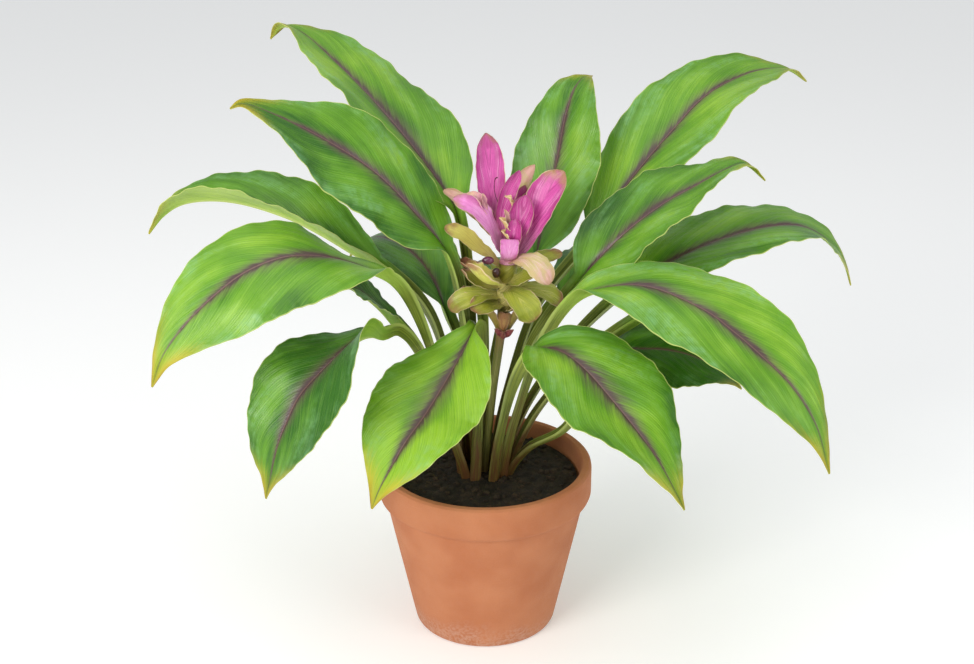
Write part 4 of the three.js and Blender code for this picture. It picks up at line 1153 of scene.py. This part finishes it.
def make_crumbs(material):
    """Loose crumbs, each a lumpy copy of one ball that lies a little sunk in the soil."""
    chance = random.Random(11)
    crumbs = []
    bpy.ops.mesh.primitive_ico_sphere_add(subdivisions=2, radius=1)
    first = bpy.context.object
    first.select_set(False)
    for k in range(CRUMB_COUNT):
        reach, heading = CRUMB_REACH * math.sqrt(chance.random()), chance.uniform(0, 360)
        x, y, _ = polar(reach, heading, 0)
        size = chance.choice(CRUMB_SIZES)
        crumb = first.copy()
        crumb.data = first.data.copy()
        bpy.context.collection.objects.link(crumb)
        shift = Vector((k * 3.1, 0, 0))
        tall, wide = chance.uniform(0.5, 0.8), chance.uniform(0.8, 1.25)
        centre = Vector((x, y, soil_height(x, y) + size * 0.25))
        for corner in crumb.data.vertices:
            lump = 1 + 0.45 * noise.noise(corner.co * 1.7 + shift)
            here = Vector((corner.co.x * wide, corner.co.y, corner.co.z * tall)) * size * lump
            corner.co = (centre + here) * MM
        crumbs.append(crumb)
    bpy.data.objects.remove(first)
    crumbs = join_pieces("soil_crumbs", crumbs)
    crumbs.data.materials.append(material)
    shade_smoothly(crumbs)
    finish_piece(crumbs, "soil")


# Flower spike
def full_circle(columns):
    """Angles once round, with the last one exactly the first."""
    around = np.linspace(0, 2 * np.pi, columns + 1)
    around[-1] = 0
    return around


def round_stem(name, low, high, thickness, material, traits, flute=0.0, columns=32, rows=60):
    """A stem along the spike's line. thickness is its radius, what is added to that, and the height
    where this begins and over how much height, above the soil."""
    radius, added, begins, over = thickness
    spine = np.array(SPIKE, float)
    heights = np.linspace(low, high, rows + 1)
    x = through(list(zip(spine[:, 2], spine[:, 0])), heights)
    y = through(list(zip(spine[:, 2], spine[:, 1])), heights)
    around = full_circle(columns)
    size = (radius + added * smooth((heights - begins) / over))[:, None]
    size = size * (1 + flute * np.cos(7 * around))
    ring = np.stack([np.cos(around), np.sin(around)], -1)
    points = np.zeros((rows + 1, columns + 1, 3))
    points[..., 0] = x[:, None] + size * ring[:, 0]
    points[..., 1] = y[:, None] + size * ring[:, 1]
    points[..., 2] = heights[:, None] + SOIL_LEVEL
    across = np.broadcast_to(np.linspace(-1, 1, columns + 1), points.shape[:2])
    along = np.broadcast_to(np.linspace(-1, 1, rows + 1)[:, None], points.shape[:2])
    return sleeve(name, points, along, across, 0, [material], traits)


def make_style(material):
    """The dark thread that stands up from the flower, thicker at its tip."""
    line = smooth_line(STYLE, 8)
    v = np.linspace(0, 1, STYLE_ROWS + 1)
    here, left, up = frames_along(line, v * lengths_along(line)[-1])
    around = full_circle(12)[None, :, None]
    size = (0.30 + 0.35 * smooth((v - 0.86) / 0.14))[:, None, None]
    ring = left[:, None] * np.cos(around) + up[:, None] * np.sin(around)
    points = here[:, None] + size * ring + (0, 0, SOIL_LEVEL)
    flat = np.zeros(points.shape[:2])
    finish_piece(sleeve("flower_style", points, flat, flat, 0, [material], (0, 0, 0)), "bud")


def make_bud(name, centre, half, material):
    """A slightly lobed egg. half holds its half sizes."""
    bpy.ops.mesh.primitive_uv_sphere_add(segments=40, ring_count=26, radius=1)
    bud = bpy.context.object
    bud.name = bud.data.name = name.split("_")[1] + "_bud"
    centre = Vector(centre) + Vector((0, 0, SOIL_LEVEL))
    for corner in bud.data.vertices:
        x, y, z = corner.co
        lobes = 1 + 0.03 * math.cos(3 * math.atan2(z, y)) + 0.05 * noise.noise(corner.co * 1.6)
        corner.co = (lobes * Vector((x * half[0], y * half[1], z * half[2])) + centre) * MM
    shade_smoothly(bud)
    bud.data.materials.append(material)
    finish_piece(bud, "bud", name)


def make_whorl(name, slot, bracts, material, first_seed, core=None, nodes=()):
    """Bracts as one piece. core is (low, high, thickness) of the stem that they grow round."""
    pieces = []
    for k, bract in enumerate(bracts):
        pieces.append(make_bract(f"{name}_{k}", bract, material, first_seed + k))
    if core:
        pieces.append(round_stem(name + "_core", *core, material, (0.3, 0, 1)))
    finish_piece(join_pieces(name, pieces), slot, *nodes)


def make_spike(materials):
    stalk = round_stem(
        "spike_stalk", -ROOT_DEPTH, 178, (4.4, 1.5, 150, 25), materials["stalk"], (0, 0, 3),
        flute=0.035, rows=90,
    )
    finish_piece(stalk, "stalk", "flower_stalk")
    green, pink = materials["green_bract"], materials["pink_bract"]
    core = (178.3, 232, (6, 3, 178, 25))
    make_whorl("green_bract_whorl", "green_bract", GREEN_BRACTS, green, 40, core, ["green_bracts"])
    core = (232.3, 262, (9, -6, 232, 30))
    make_whorl("pink_bract_tuft", "pink_bract", PINK_BRACTS, pink, 70, core, ["pink_bracts"])
    make_whorl("small_florets", "pink_bract", FLORETS, materials["floret"], 90)
    make_whorl("stem_sheaths", "green_bract", SHEATHS, materials["stem_sheath"], 90)
    make_style(materials["bud_front"])
    make_bud("bud_front", (11, -19, 227), (4.2, 4.2, 4.9), materials["bud_front"])
    make_bud("bud_left", (3, -20, 240), (5.8, 4.2, 3.9), materials["bud_left"])


def add_floor():
    bpy.ops.mesh.primitive_plane_add(size=12, location=(0, 0, -0.0005))
    floor = bpy.context.object
    floor.name = "floor"
    floor.select_set(False)
    material, _, shader = start_material("pale_floor", 0.8, Base_Color=(0.86, 0.86, 0.85))
    feed_named(shader, Emission_Color=(1, 1, 1), Emission_Strength=0.22)
    floor.data.materials.append(material)


add_camera()
light_studio()
add_floor()
materials = make_materials()
make_pot(materials["clay"])
make_soil(materials["soil"])
make_crumbs(materials["crumb"])
for number, (name, leaf) in enumerate(LEAVES.items()):
    make_leaf(name, leaf, materials["leaf"], number + 1)
make_spike(materials)
